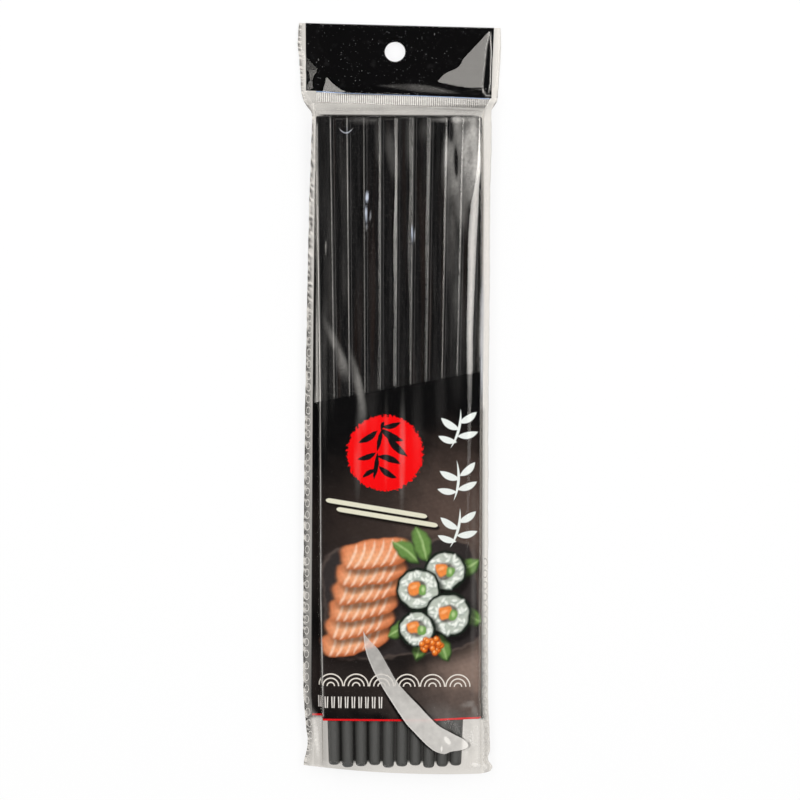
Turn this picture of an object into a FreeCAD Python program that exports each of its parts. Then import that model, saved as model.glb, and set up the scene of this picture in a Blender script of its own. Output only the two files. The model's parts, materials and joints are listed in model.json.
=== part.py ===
import FreeCAD, Part
import math
import os

# A hanging pack of plastic chopsticks: two rows of ten sticks in a clear film bag. The bag is
# welded along both sides and above the sticks. Its header holds an opaque strip of film and has
# a round hang hole. Units are millimetres. The pack lies on its back: +X to the right, +Y towards
# the header, +Z up through the rows. The origin is the middle of the footprint, on the surface
# that the pack rests on.

# One chopstick: a tapering square bar that turns into a round cone towards its eating end.
STICK_LENGTH = 240.0
HEAD_SIDE = 6.1  # across the flats at the head
TIP_SIDE = 4.95  # across the flats, if they went on to the tip
CORNER_RADIUS = 0.5  # on the four long corners
HEAD_CHAMFER = 0.4
SQUARE_LENGTH = 110.0  # from the head to where the corners begin to widen
CONE_LENGTH = 36.0  # the fully round stretch at the tip
TIP_DIAMETER = 4.2
TIP_ROUNDING = 1.3  # radius of the rim at the tip

# How the sticks lie.
STICKS_PER_ROW = 10
ROWS = 2
SIDE_GAP = 0.04  # between neighbours in a row
LAY_GAP = 0.05  # between a row and what it lies on
SLIP = 0.5  # how far single sticks have slid along the bag, either way
SLIP_STEP = 2.1  # from one stick to the next, and from row to row, in radians of a sine

# The film bag. Its side seams lie at half the height of what is in it.
FILM = 0.1
SIDE_ROOM = 0.2  # between the outer sticks and the film
END_ROOM = 0.3  # between the ends of the sticks and the places where the film closes
SEAM_WIDTH = 2.8  # the welded strip along each side
SEAM_AT_HEADS = 0.05  # how far out the seams begin, from the bag's widest corner
SEAM_AT_WAIST = 0.5
SEAM_AT_TIPS = 0.1
SEAM_AT_FOLD = 1.2
BOTTOM_GAP = 3.4  # from the tips to the bottom fold
BOTTOM_BOW = 2.4  # how much further the fold reaches in its middle than at its ends
CORNER_FLARE = 8.0  # height of the bottom corners, where the seams turn outwards

# The welded top.
SHOULDER = 5.2  # from the heads to the weld
WELD_HEIGHT = 4.4
WELD_STEP = 2.5  # how far the weld stands out past the seams at the heads
HEADER_HEIGHT = 25.6
HEADER_FLARE = 1.25  # how far the header's upper edge stands out past the weld
HEADER_EDGE_LIFT = 1.0  # height of the drooping upper edge over the resting surface
STRIP = 0.1  # thickness of the opaque strip
STRIP_MARGIN = 2.9  # clear film on each side of the strip
POCKET_ROOM = 0.1  # between the strip's edges and the weld around its pocket
HOLE_RADIUS = 3.8
HOLE_DROP = 10.0  # from the upper edge down to the hole's centre
HOLE_OFFSET = -1.6  # from the pack's middle line

# Places along the pack, from the bottom fold to the header's upper edge.
PACK_LENGTH = BOTTOM_GAP + STICK_LENGTH + SHOULDER + WELD_HEIGHT + HEADER_HEIGHT
FOLD_Y = -PACK_LENGTH / 2
TIP_Y = FOLD_Y + BOTTOM_GAP
HEAD_Y = TIP_Y + STICK_LENGTH
WAIST_Y = (TIP_Y + HEAD_Y) / 2
WELD_Y = HEAD_Y + SHOULDER
HEADER_Y = WELD_Y + WELD_HEIGHT
TOP_Y = HEADER_Y + HEADER_HEIGHT


def side_at(y):
    """Across the flats of a stick at a place along the pack."""
    return HEAD_SIDE + (HEAD_Y - y) / STICK_LENGTH * (TIP_SIDE - HEAD_SIDE)


def stack_height(y):
    """Height of the filled bag at a place along the pack."""
    return 2 * FILM + LAY_GAP + ROWS * (side_at(y) + LAY_GAP)


def corner_at(y):
    """How far out the corners of the filled bag lie at a place along the pack."""
    return STICKS_PER_ROW * (side_at(y) + SIDE_GAP) / 2 + SIDE_ROOM + FILM


# The header's middle plane runs down in a straight line from the weld, at half the bag's height.
HEADER_DROP = stack_height(HEAD_Y) / 2 - HEADER_EDGE_LIFT
HEADER_TILT = math.atan2(HEADER_DROP, TOP_Y - WELD_Y)
HEADER_NORMAL = FreeCAD.Vector(0, math.sin(HEADER_TILT), math.cos(HEADER_TILT))
WIDEST = max(corner_at(HEAD_Y), corner_at(TIP_Y))
WELD_HALF_WIDTH = WIDEST + SEAM_AT_HEADS + SEAM_WIDTH + WELD_STEP


def header_height_at(y):
    """Height of the header's middle plane at a place along the pack."""
    return HEADER_EDGE_LIFT + (TOP_Y - y) * math.tan(HEADER_TILT)


def header_half_width_at(y):
    """Half the header's width, which grows from the weld to the upper edge."""
    return WELD_HALF_WIDTH + HEADER_FLARE * (y - WELD_Y) / (TOP_Y - WELD_Y)


def facets(corners, side):
    """The flat face through four corners. Where they don't lie flat, two triangles, folded along
    the diagonal that lies higher (side 1) or lower (-1). Corners that coincide count as one."""
    loop = [c for i, c in enumerate(corners) if c.distanceToPoint(corners[i - 1]) > 1e-7]
    if len(loop) < 3:
        return []
    normal = (loop[1] - loop[0]).cross(loop[2] - loop[0]).normalize()
    if len(loop) == 3 or abs(normal.dot(loop[3] - loop[0])) < 1e-7:
        return [Part.Face(Part.makePolygon(loop + loop[:1]))]
    if side * (loop[0].z + loop[2].z) < side * (loop[1].z + loop[3].z):
        loop = loop[1:] + loop[:1]
    return facets(loop[:3], side) + facets(loop[2:] + loop[:1], side)


def folded_solid(upper, lower):
    """The solid between two sheets. Each sheet is a list of rows with as many points in each."""
    faces = []
    for side, sheet in ((1, upper), (-1, lower)):
        for row, ahead in zip(sheet, sheet[1:]):
            for i in range(len(row) - 1):
                faces += facets([row[i], row[i + 1], ahead[i + 1], ahead[i]], side)
    for end in (0, -1):
        top = upper[end]
        bottom = lower[end]
        for i in range(len(top) - 1):
            faces += facets([top[i], top[i + 1], bottom[i + 1], bottom[i]], 1)
        for i in range(len(upper) - 1):
            corners = [upper[i][end], upper[i + 1][end], lower[i + 1][end], lower[i][end]]
            faces += facets(corners, 1)
    return Part.makeSolid(Part.makeShell(faces))


def mirrored(half):
    """A row of points from the left edge to the right one, given its right half, edge first."""
    left = [FreeCAD.Vector(-x, y, z) for x, y, z in half]
    right = [FreeCAD.Vector(x, y, z) for x, y, z in reversed(half)]
    return left + right


def section(y, start, flat, end, corner):
    """A closed wire square to the Y axis, of four flats and four corners. The first flat runs from
    start to end, through flat if it is curved, and corner is the middle of the corner after it.
    Each of these is a place (x, z)."""
    after = (-start[1], start[0])
    edges = []
    for turn in range(4):
        rotate = FreeCAD.Rotation(FreeCAD.Vector(0, 1, 0), -90 * turn)
        places = [rotate.multVec(FreeCAD.Vector(x, y, z)) for x, z in (start, flat, end, corner, after)]
        if start[0] == flat[0]:
            edges.append(Part.LineSegment(places[0], places[2]).toShape())
        else:
            edges.append(Part.Arc(*places[:3]).toShape())
        edges.append(Part.Arc(*places[2:]).toShape())
    return Part.Wire(edges)


def square_section(side, y):
    """The stick's section where it is square, with rounded corners."""
    half = side / 2
    inner = half - CORNER_RADIUS
    near = inner + CORNER_RADIUS * math.sqrt(0.5)
    return section(y, (half, -inner), (half, 0), (half, inner), (near, near))


def round_section(diameter, y):
    """The stick's section where it is round, in eight arcs that follow the flats and corners."""
    radius = diameter / 2
    across = radius * math.cos(math.pi / 8)
    along = radius * math.sin(math.pi / 8)
    near = radius * math.sqrt(0.5)
    return section(y, (across, -along), (radius, 0), (across, along), (near, near))


def tip_cone(wide):
    """The round end along -Y, from its wide end to the tip, with a rounded rim."""
    tip = TIP_DIAMETER / 2
    rim = min(TIP_ROUNDING, 0.9 * tip)
    bend = rim * (1 - math.sqrt(0.5))
    end = -STICK_LENGTH
    corners = [
        FreeCAD.Vector(0, end, 0),
        FreeCAD.Vector(tip - rim, end, 0),
        FreeCAD.Vector(tip - bend, end + bend, 0),
        FreeCAD.Vector(tip, end + rim, 0),
        FreeCAD.Vector(wide / 2, end + CONE_LENGTH, 0),
        FreeCAD.Vector(0, end + CONE_LENGTH, 0),
    ]
    edges = [
        Part.LineSegment(corners[0], corners[1]).toShape(),
        Part.Arc(*corners[1:4]).toShape(),
        Part.LineSegment(corners[3], corners[4]).toShape(),
        Part.LineSegment(corners[4], corners[5]).toShape(),
        Part.LineSegment(corners[5], corners[0]).toShape(),
    ]
    profile = Part.Face(Part.Wire(edges))
    return profile.revolve(corners[0], FreeCAD.Vector(0, 1, 0), 360)


def chopstick():
    """One stick along -Y, with the middle of its head's end face at the origin."""
    cone_start = CONE_LENGTH - STICK_LENGTH
    wide = side_at(HEAD_Y + cone_start)
    sections = [
        square_section(HEAD_SIDE - 2 * HEAD_CHAMFER, 0),
        square_section(HEAD_SIDE, -HEAD_CHAMFER),
        square_section(side_at(HEAD_Y - SQUARE_LENGTH), -SQUARE_LENGTH),
        round_section(wide, cone_start),
    ]
    bar = Part.makeLoft(sections, True, True)
    return bar.fuse(tip_cone(wide)).removeSplitter().Solids[0]


def lay_stick(stick, row, place):
    """A copy of the stick in its place in a row. Neighbours' flats stay parallel, and the rows
    lie flat on each other, so each stick is turned a little and slopes towards its tip."""
    across = place - (STICKS_PER_ROW - 1) / 2
    up = row + 0.5
    sink = (HEAD_SIDE - TIP_SIDE) / STICK_LENGTH
    slid = SLIP * math.sin(SLIP_STEP * (place + row))
    turn = FreeCAD.Rotation(FreeCAD.Vector(0, 0, 1), math.degrees(math.asin(-across * sink)))
    slope = FreeCAD.Rotation(FreeCAD.Vector(1, 0, 0), math.degrees(math.asin(up * sink)))
    head = FreeCAD.Vector(
        across * (HEAD_SIDE + SIDE_GAP),
        HEAD_Y + slid,
        FILM + LAY_GAP + up * HEAD_SIDE + row * LAY_GAP,
    )
    laid = stick.copy()
    laid.Placement = FreeCAD.Placement(head, turn.multiply(slope))
    return laid


def filled_section(y, seam_y, seam, inset, side):
    """Outer and inner row of one film, upper (side 1) or lower (-1), where sticks fill the bag.
    The inner corners lie further along by inset, which keeps the film's thickness at an end."""
    middle = stack_height(y) / 2
    root = WIDEST + seam
    corner = corner_at(y)
    outer = [
        (root + SEAM_WIDTH, seam_y, middle + side * FILM),
        (root, seam_y, middle + side * FILM),
        (corner, y, middle + side * middle),
    ]
    inner = [
        (root - FILM, seam_y, middle),
        (corner - FILM, y + inset, middle + side * (middle - FILM)),
    ]
    return mirrored(outer), mirrored(inner)


def fold_section(side):
    """Outer and inner row of one film at the bottom fold, which is bowed."""
    middle = stack_height(TIP_Y) / 2
    root = WIDEST + SEAM_AT_FOLD
    corner = corner_at(TIP_Y)
    bowed = FOLD_Y + BOTTOM_BOW
    outer = [
        (root + SEAM_WIDTH, bowed, middle + side * FILM),
        (root, bowed, middle + side * FILM),
        (corner, FOLD_Y, middle + side * FILM),
    ]
    inner = [
        (root - FILM, bowed + FILM, middle),
        (corner - FILM, FOLD_Y + FILM, middle),
    ]
    return mirrored(outer), mirrored(inner)


def header_row(y, thickness, side):
    """Outer row of one film across the weld or the header, which are flat."""
    edge = header_half_width_at(y)
    z = header_height_at(y) + side * thickness / 2 / math.cos(HEADER_TILT)
    return mirrored([(edge, y, z), (edge - SEAM_WIDTH, y, z), (WIDEST, y, z)])


def bag_sheet(side):
    """Outer rows of the upper (side 1) or lower (-1) film, and the inner rows of its pouch."""
    tips = TIP_Y - SLIP - END_ROOM
    heads = HEAD_Y + SLIP + END_ROOM
    flare = FOLD_Y + BOTTOM_BOW + CORNER_FLARE
    sections = [
        fold_section(side),
        filled_section(tips, flare, SEAM_AT_TIPS, FILM, side),
        filled_section(WAIST_Y, WAIST_Y, SEAM_AT_WAIST, 0.0, side),
        filled_section(heads, heads, SEAM_AT_HEADS, -FILM, side),
    ]
    outer = [section[0] for section in sections]
    inner = [section[1] for section in sections]
    header = 2 * FILM + STRIP
    outer += [header_row(WELD_Y, 2 * FILM, side), header_row(HEADER_Y, header, side)]
    outer += [header_row(TOP_Y, header, side)]
    closed = header_height_at(WELD_Y)
    root = WELD_HALF_WIDTH - SEAM_WIDTH
    inner += [mirrored([(root - FILM, WELD_Y, closed), (WIDEST - FILM, WELD_Y, closed)])]
    return outer, inner


def strip_plate(room, past):
    """The opaque strip's plate, wider by room at its sides and foot, and longer at its top."""
    rows = []
    for y in (HEADER_Y + POCKET_ROOM - room, TOP_Y + past):
        edge = header_half_width_at(y) - STRIP_MARGIN + room
        rows.append((edge, y, header_height_at(y)))
    lift = STRIP / 2 / math.cos(HEADER_TILT)
    upper = [mirrored([(x, y, z + lift)]) for x, y, z in rows]
    lower = [mirrored([(x, y, z - lift)]) for x, y, z in rows]
    return folded_solid(upper, lower)


def hang_hole():
    """The drill for the hang hole, square to the header."""
    y = TOP_Y - HOLE_DROP
    centre = FreeCAD.Vector(HOLE_OFFSET, y, header_height_at(y))
    reach = HOLE_RADIUS
    return Part.makeCylinder(HOLE_RADIUS, 2 * reach, centre - HEADER_NORMAL * reach, HEADER_NORMAL)


def film_bag():
    """The folded and welded film, with the sticks' sealed pouch and the strip's pocket."""
    upper_outer, upper_inner = bag_sheet(1)
    lower_outer, lower_inner = bag_sheet(-1)
    film = folded_solid(upper_outer, lower_outer)
    pouch = folded_solid(upper_inner, lower_inner)
    pocket = strip_plate(POCKET_ROOM, 1.0)
    return film.cut(pouch).cut(pocket).cut(hang_hole())


def main():
    os.makedirs("parts", exist_ok=True)
    film_bag().exportStep("parts/film_bag.step")
    strip_plate(0.0, 0.0).cut(hang_hole()).exportStep("parts/header_strip.step")
    stick = chopstick()
    for row in range(ROWS):
        for place in range(STICKS_PER_ROW):
            number = row * STICKS_PER_ROW + place + 1
            lay_stick(stick, row, place).exportStep(f"parts/chopstick_{number:02d}.step")


main()
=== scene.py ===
"""A film pack of twenty black chopsticks, laid flat on a white table."""

import json
import math

import bpy
import numpy as np
from bpy.props import FloatProperty, FloatVectorProperty, PointerProperty
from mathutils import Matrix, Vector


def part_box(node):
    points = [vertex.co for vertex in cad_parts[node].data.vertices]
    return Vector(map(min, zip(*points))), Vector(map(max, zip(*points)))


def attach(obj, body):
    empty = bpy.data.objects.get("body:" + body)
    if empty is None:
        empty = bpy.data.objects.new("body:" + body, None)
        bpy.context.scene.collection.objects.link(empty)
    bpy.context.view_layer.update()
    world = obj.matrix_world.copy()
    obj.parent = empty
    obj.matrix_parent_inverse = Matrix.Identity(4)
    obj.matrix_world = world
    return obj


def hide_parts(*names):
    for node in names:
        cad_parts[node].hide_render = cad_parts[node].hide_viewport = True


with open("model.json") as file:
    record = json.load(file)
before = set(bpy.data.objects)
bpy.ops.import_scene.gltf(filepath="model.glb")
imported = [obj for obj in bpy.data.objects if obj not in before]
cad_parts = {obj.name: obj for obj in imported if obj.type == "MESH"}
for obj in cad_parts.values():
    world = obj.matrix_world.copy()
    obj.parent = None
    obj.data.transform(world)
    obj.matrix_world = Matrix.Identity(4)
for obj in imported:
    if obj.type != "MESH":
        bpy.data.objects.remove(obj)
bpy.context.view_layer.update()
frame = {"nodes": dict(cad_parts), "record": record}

bl_info = {
    "name": "Chopstick Pack",
    "version": (1, 0, 0),
    "blender": (4, 5, 0),
    "location": "View3D > Sidebar > Chopstick Pack",
    "description": "Builds a sealed film pack of black chopsticks with a printed panel and a header",
    "category": "Object",
}

# Heights, widths and places below are in millimetres; meshes are written in metres.
MM = 0.001

BAG_LOW, BAG_HIGH = (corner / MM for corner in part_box("film_bag"))
STRIP_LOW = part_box("header_strip")[0] / MM
STICKS = [f"chopstick_{number:02d}" for number in range(1, 21)]
STICK_BOXES = [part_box(name) for name in STICKS]
HEAD_Y = max(high.y for low, high in STICK_BOXES) / MM
TIP_Y = min(low.y for low, high in STICK_BOXES) / MM
PER_ROW = 10

# The sticks as the film lies on them: half the row's width at the heads and at the tips, the height
# at the heads, and the share of it that is left at the tips.
STACK_HALF_HEADS = max(high.x for low, high in STICK_BOXES) / MM
STACK_HALF_TIPS = 24.8
STACK_TOP = BAG_HIGH.z
TIP_SHARE = 0.815

# Places along the pack, and heights of the header at its free edge and at its root.
TOP_Y = BAG_HIGH.y
FOLD_Y = BAG_LOW.y
HEADER_Y = STRIP_LOW.y
WELD_Y = 109.3
SHOULDER_Y = 104.0
HEADER_LOW = 1.0
HEADER_HIGH = 5.5

# The sheets are laid out in straight rows from LOWEST_ROW to TOP_Y, then bent to the bottom fold and
# to the sloping free edge of the header.
LOWEST_ROW = -139.3
TOP_LINE = 139.35
TOP_SLOPE = 0.02
FINE_ROWS = (-120.0, 13.0, 334)
ROW_RUNS = (
    (LOWEST_ROW, -118.0, 38), (-118.0, 103.0, 214), (103.0, 114.0, 24), (114.0, TOP_Y, 52),
)

# The printed panel: its slanting upper edge, and the red line along its bottom.
PRINT_EDGE_Y = 4.53
PRINT_SLOPE = 0.1914
RED_LINE_Y = -118.5
RED_LINE_HALF = 0.42
RED_LINE_CORE = 0.3

# Straight cuts that trim a sheet: a point on the cut, and the direction that is cut away.
STRIP_CORNER = (-34.6, 114.5, 0.0)
STRIP_SLOPE = -0.037
STRIP_CUTS = (
    (STRIP_CORNER, (STRIP_SLOPE, -1.0, 0.0)),
    ((0.0, 139.28, 0.0), (TOP_SLOPE, 1.0, 0.0)),
    (STRIP_CORNER, (-1.0, -0.016, 0.0)),
    ((34.3, 112.3, 0.0), (1.0, -0.035, 0.0)),
)
PRINT_CUTS = (
    ((-29.4, -1.1, 0.0), (-0.188, 0.982, 0.0)),
    ((0.0, -119.3, 0.0), (0.0, -1.0, 0.0)),
    ((-31.3, 0.0, 0.0), (-1.0, -0.004, 0.0)),
    ((31.7, 0.0, 0.0), (1.0, 0.0, 0.0)),
)

# The ribbed weld: its ends across the pack, its lower edge, the bead's share of the way up, and the
# grid's columns to a rib and rows.
WELD_LEFT = -30.8
WELD_RIGHT = 33.9
WELD_LOW_Y = 110.1
WELD_SLOPE = -0.034
WELD_BEAD = 0.955
RIB_COLUMNS = 5
RIB_ROWS = 24

# How far the films lie above or below the height worked out for them, half the thickness of the closed
# ends, how far the strip and the print lie under the upper film, and the depth of the hole's punch.
FILM_LIFT = 0.06
HEADER_LIFT = 0.16
HEADER_DROP = 0.22
CLOSED_HALF = 0.04
STRIP_DEPTH = 0.12
PRINT_DEPTH = 0.1
PUNCH_DEPTH = 12.0

# The stage, in metres: soft boxes (place, size and brightness), the table, the card above it, and the
# camera, which sees VIEW_WIDTH across at its distance from the middle of the pack.
LAMPS = (
    ("left soft box", (-0.425, 0.15, 1.0), (0.39, 1.5), 3.6),
    ("right soft box", (0.425, 0.15, 1.0), (0.39, 1.5), 3.6),
    ("far soft box", (0.0, 1.05, 1.0), (0.9, 0.24), 3.0),
)
TABLE_SIZE = 6.0
CARD_SIZE = 5.6
CARD_HEIGHT = 1.35
CAMERA_PLACE = (0.00104, -0.00018)
CAMERA_TURN = 0.0061
CAMERA_DISTANCE = 1.2
PACK_MIDDLE = 0.006
VIEW_WIDTH = 0.2968
SENSOR_WIDTH = 36.0

# The rectangle in which the long crease's two lines are drawn as curves.
CURVE_LOW_X = -20.0
CURVE_WIDTH = 50.0
CURVE_LOW_Y = -131.0
CURVE_HEIGHT = 46.0

# Lines of the bag, from the bottom fold to the header's top: place along the pack, then place across.
# An edge is the outside of a seam, and a root is the line where the two films part. The band is the
# long highlight near the right side. The horn is the long curved crease over the lower panel, between
# its left line and its right line.
LEFT_EDGE = (
    (-139.3, -33.9), (-138.0, -33.9), (-135.7, -33.5), (-129.3, -32.5), (-125.6, -32.5),
    (-120.8, -33.2), (-111.5, -34.1), (-93.0, -34.5), (-37.0, -34.4), (0.0, -34.2), (18.0, -33.9),
    (44.0, -33.6), (74.0, -33.1), (92.6, -32.5), (104.5, -32.2), (106.6, -32.6), (108.6, -34.2),
    (110.6, -35.5), (113.5, -36.3), (120.0, -36.8), (127.0, -37.4), (131.5, -37.9), (139.3, -37.5),
)
RIGHT_EDGE = (
    (-139.3, 35.4), (-138.6, 35.9), (-137.9, 36.3), (-134.5, 34.6), (-132.5, 34.75), (-130.5, 35.3),
    (-122.6, 35.0), (-111.5, 34.5), (-74.0, 34.2), (0.0, 33.9), (37.0, 34.1), (74.0, 34.0),
    (92.6, 34.4), (104.0, 34.4), (107.6, 34.3), (108.8, 35.2), (110.8, 36.4), (113.5, 36.8),
    (120.0, 37.2), (131.0, 37.9), (139.3, 37.7),
)
LEFT_ROOT = (
    (-139.3, -30.5), (-132.0, -30.3), (-124.0, -30.0), (-119.0, -30.9), (-110.0, -31.7), (0.0, -31.7),
    (74.0, -31.3), (104.0, -31.0), (108.8, -31.6), (113.6, -34.6), (139.3, -34.6),
)
RIGHT_ROOT = (
    (-139.3, 32.6), (-120.0, 32.4), (-110.0, 31.9), (0.0, 31.8), (37.0, 32.1), (74.0, 31.9),
    (104.0, 31.5), (108.8, 32.4), (113.6, 34.4), (139.3, 35.0),
)
LEFT_FOLD = (
    (-136.0, -26.3), (-111.0, -26.9), (-74.0, -27.9), (-37.0, -28.2), (0.0, -28.6), (74.0, -30.0),
    (104.0, -30.7),
)
BAND_PLACE = (
    (-136.0, 24.4), (-60.0, 25.8), (-30.0, 26.6), (5.0, 26.8), (26.0, 26.7), (59.0, 27.4), (72.0, 28.2),
    (84.0, 29.5), (96.0, 30.0), (104.0, 30.1),
)
CORNER_CREASE = ((114.0, 31.2), (118.0, 31.2), (130.0, 32.3), (137.5, 33.5))
CORNER_MARGIN = ((114.0, 33.3), (118.0, 33.9), (130.0, 34.2), (137.5, 33.9))
HORN_LEFT = (
    (-131.0, 18.0), (-130.1, 15.1), (-128.2, 12.3), (-125.4, 9.4), (-122.7, 6.8), (-120.3, 4.5),
    (-117.0, 2.1), (-113.4, -0.3), (-104.5, -5.9), (-97.6, -9.4), (-91.5, -11.4), (-85.5, -12.0),
)
HORN_RIGHT = (
    (-131.0, 18.6), (-130.1, 20.6), (-129.2, 25.2), (-127.8, 27.0), (-126.5, 26.5), (-123.1, 21.0),
    (-120.5, 16.3), (-117.0, 12.5), (-112.7, 8.5), (-109.3, 5.1), (-103.8, 0.4), (-99.0, -2.4),
    (-92.8, -6.0), (-85.5, -11.8),
)

# Values that change along the pack: place along the pack, then the value. They are the film's rise
# over the middle of the sticks; the band's slope, width and glow; how much of its shine the film
# keeps; how far the pale right weld reaches inwards; and the shades beside and on the left seam.
CROWN = ((-136.0, 0.3), (-110.0, 0.8), (-40.0, 1.2), (40.0, 1.2), (90.0, 0.7), (104.0, 0.4))
BAND_SLOPE = ((-70.0, 0.03), (-48.0, 0.1), (-24.0, 0.15), (5.0, 0.17), (104.0, 0.17))
BAND_WIDTH = (
    (-30.0, 0.45), (0.0, 0.45), (8.0, 0.55), (24.0, 0.6), (40.0, 0.8), (60.0, 1.1), (72.0, 1.05),
    (80.0, 0.6), (88.0, 0.42), (104.0, 0.4),
)
BAND_GLOW = (
    (-60.0, 0.0), (-30.0, 0.01), (-14.0, 0.03), (3.0, 0.05), (10.0, 0.08), (24.0, 0.14), (68.0, 0.14),
    (80.0, 0.1), (90.0, 0.2), (104.0, 0.2),
)
DIMMING = ((8.0, 0.28), (22.0, 0.32), (38.0, 0.42), (58.0, 0.66), (72.0, 1.0), (88.0, 1.0), (102.0, 0.5))
WELD_CREEP = ((-4.0, 0.0), (8.0, 0.3), (22.0, 0.6), (40.0, 0.4), (60.0, 0.3), (80.0, 0.35), (97.0, 0.22))
LEFT_STRIP_SHADE = ((-10.0, 0.9), (20.0, 0.82), (60.0, 0.52), (104.0, 0.45))
LEFT_SEAM_SHADE = (
    (-139.0, 0.22), (-127.0, 0.26), (-121.5, 0.66), (-110.0, 0.7), (-60.0, 0.68), (0.0, 0.72),
    (40.0, 0.68), (60.0, 0.64), (80.0, 0.68), (98.0, 0.6), (108.0, 0.26), (114.0, 0.2),
)

# The pressed rings: the start of a column above the fold; for each side its seam, its end along the
# pack and its cloudiness; and the shape of a ring.
RING_START = 6.0
RING_SIDES = (
    ("left", LEFT_EDGE, LEFT_ROOT, 40.0, 0.34), ("right", RIGHT_EDGE, RIGHT_ROOT, -52.0, 0.2),
)
RING_THICKNESS = 0.15
RING_STRETCH = (0.95, 1.7, 0.6)


def track(y, pairs):
    """Value along the pack, run through the given pairs."""
    places, values = zip(*pairs)
    return np.interp(y, places, values)


def ease(t):
    """Smooth step from 0 to 1."""
    t = np.clip(t, 0.0, 1.0)
    return t * t * (3.0 - 2.0 * t)


def ramp(d, soft):
    """Zero below d = 0 and d above it, with a rounded knee."""
    return soft * np.logaddexp(0.0, d / soft)


def lowest(heights, soft):
    """Smallest of several heights, with rounded meetings."""
    return -soft * np.logaddexp.reduce([-height / soft for height in heights])


def window(t, low, high, fade):
    """One between low and high, faded out over fade at either end."""
    return ease((t - low) / fade + 1.0) * ease((high - t) / fade + 1.0)


def fold(d, width, rise, fall, soft):
    """A crease: climbs at rise across width, then goes back down at fall."""
    back = width * rise / fall
    up = rise * (ramp(d, soft) - ramp(d - width, soft))
    return up - fall * (ramp(d - width, soft) - ramp(d - width - back, soft))


def bell(d, width):
    """Smooth bump: one at d = 0, nearly gone at twice the width."""
    return np.exp(-((d / width) ** 2))


def wobble(x, y, size, seed):
    """Slow irregular swing between about -1 and 1."""
    a = np.sin(x / size * 1.7 + y / size * 1.1 + seed * 1.3)
    b = np.sin(x / size * 0.6 - y / size * 1.9 + seed * 2.1)
    c = np.sin(x / size * 2.9 + y / size * 0.37 + seed * 0.7)
    return (a + b + 0.6 * c) / 2.6


def from_seams(x, y):
    """Distance inwards from the left root and from the right root."""
    return x - track(y, LEFT_ROOT), track(y, RIGHT_ROOT) - x


def stack_share(y):
    """Share of the way from the sticks' tips to their heads."""
    return np.clip((y - TIP_Y) / (HEAD_Y - TIP_Y), 0.0, 1.0)


def stack_half(y):
    """Half the width of the row of sticks."""
    return STACK_HALF_TIPS + (STACK_HALF_HEADS - STACK_HALF_TIPS) * stack_share(y)


def stack_top(y):
    """Height of the film where it lies on the sticks."""
    return STACK_TOP * (TIP_SHARE + (1.0 - TIP_SHARE) * stack_share(y))


def bottom_line(x):
    """Place of the bottom fold."""
    return -139.0 + 0.00125 * (x - 16.0) ** 2 + 0.1 * np.maximum(x - 31.5, 0.0) ** 1.5


def header_height(x, y):
    """Middle of the header: it leans down to its free edge and is bent into facets."""
    lean = (HEADER_HIGH - HEADER_LOW) / (TOP_Y - HEADER_Y)
    flat = HEADER_HIGH + (HEADER_Y - y) * lean

    # The right corner folds down past a curved edge, and rises again out of a valley between two creases.
    root = np.sqrt(np.maximum(0.6084 + 0.044 * (y - 117.8), 0.02))
    edge = 13.6 + (root - 0.78) / 0.022
    edge = edge + 1.5 * bell(y - 124.0, 1.9) - 0.9 * bell(y - 120.9, 1.6)
    crease = track(y, CORNER_CREASE)
    margin = track(y, CORNER_MARGIN)
    valley = (crease + margin) / 2
    corner = -0.17 * ramp(x - edge, 0.12) - 0.33 * ramp(x - crease, 0.1) + 1.0 * ramp(x - valley, 0.15)
    corner = (corner - 0.5 * ramp(x - margin, 0.15)) * ease((y - 112.6 + 0.02 * (x - 15.0)) / 4.3)

    # The left flank bends down past two lines, the first with its point towards the middle.
    bend = np.abs(y - 122.6) * np.where(y > 122.6, 0.94, 0.577)
    flank = -0.15 * ramp(-30.1 - bend - x, 0.12) - 0.12 * ramp(-32.3 - 0.3 * (y - 118.0) - x, 0.1)
    flank = flank * ease((y - 113.8) / 2.0)

    # A shallow tent fans out from a point at the left down to the weld.
    reach = np.maximum(120.7 - y, 0.0)
    start = -26.8 - 0.26 * reach
    end = -26.8 + 0.29 * reach ** 1.75
    last = end + 4.0 * (end - start)
    tent = -0.2 * ramp(x - start, 0.1) + 0.25 * ramp(x - end, 0.1) - 0.05 * ramp(x - last, 0.1)
    return flat + corner + flank + tent * ease((y - 112.5) / 1.5) + 0.06 * wobble(x, y, 9.0, 2.0)


# For each stick from left to right: the share of its width over which the film slopes down beside it,
# in the upper and in the lower part of the bag, and how much more the film mirrors there. GLOSS is
# the share of light that the film mirrors straight on.
BAND_SHARE = (0.035, 0.035, 0.04, 0.14, 0.18, 0.25, 0.19, 0.06, 0.045, 0.03)
BAND_SHARE_LOW = (0.035, 0.035, 0.04, 0.19, 0.2, 0.12, 0.11, 0.04, 0.035, 0.03)
BAND_SHINE = (0.0, 0.0, 0.0, -0.045, 0.03, -0.05, -0.035, -0.02, -0.025, 0.0)
GLOSS = 0.085

# For each edge of a stick from left to right: its place as a share of the row, and how bright the
# painted highlight line in the gap is.
GAP_SHARES = (0.0, 0.0863, 0.1871, 0.2879, 0.3887, 0.4912, 0.586, 0.6888, 0.791, 0.889, 1.0)
GAP_LINES = (0.0, 1.3, 1.4, 0.75, 1.0, 1.0, 1.0, 0.85, 0.85, 0.9, 0.0)


def print_edge(x):
    """Place of the printed panel's slanting upper edge."""
    return PRINT_EDGE_Y + PRINT_SLOPE * x


def gap_place(x, y):
    """Place counted in sticks from the left edge of the row, and the width of one."""
    half = stack_half(y)
    return np.interp((x + half) / (2.0 * half), GAP_SHARES, range(PER_ROW + 1)), 2.0 * half / PER_ROW


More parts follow.
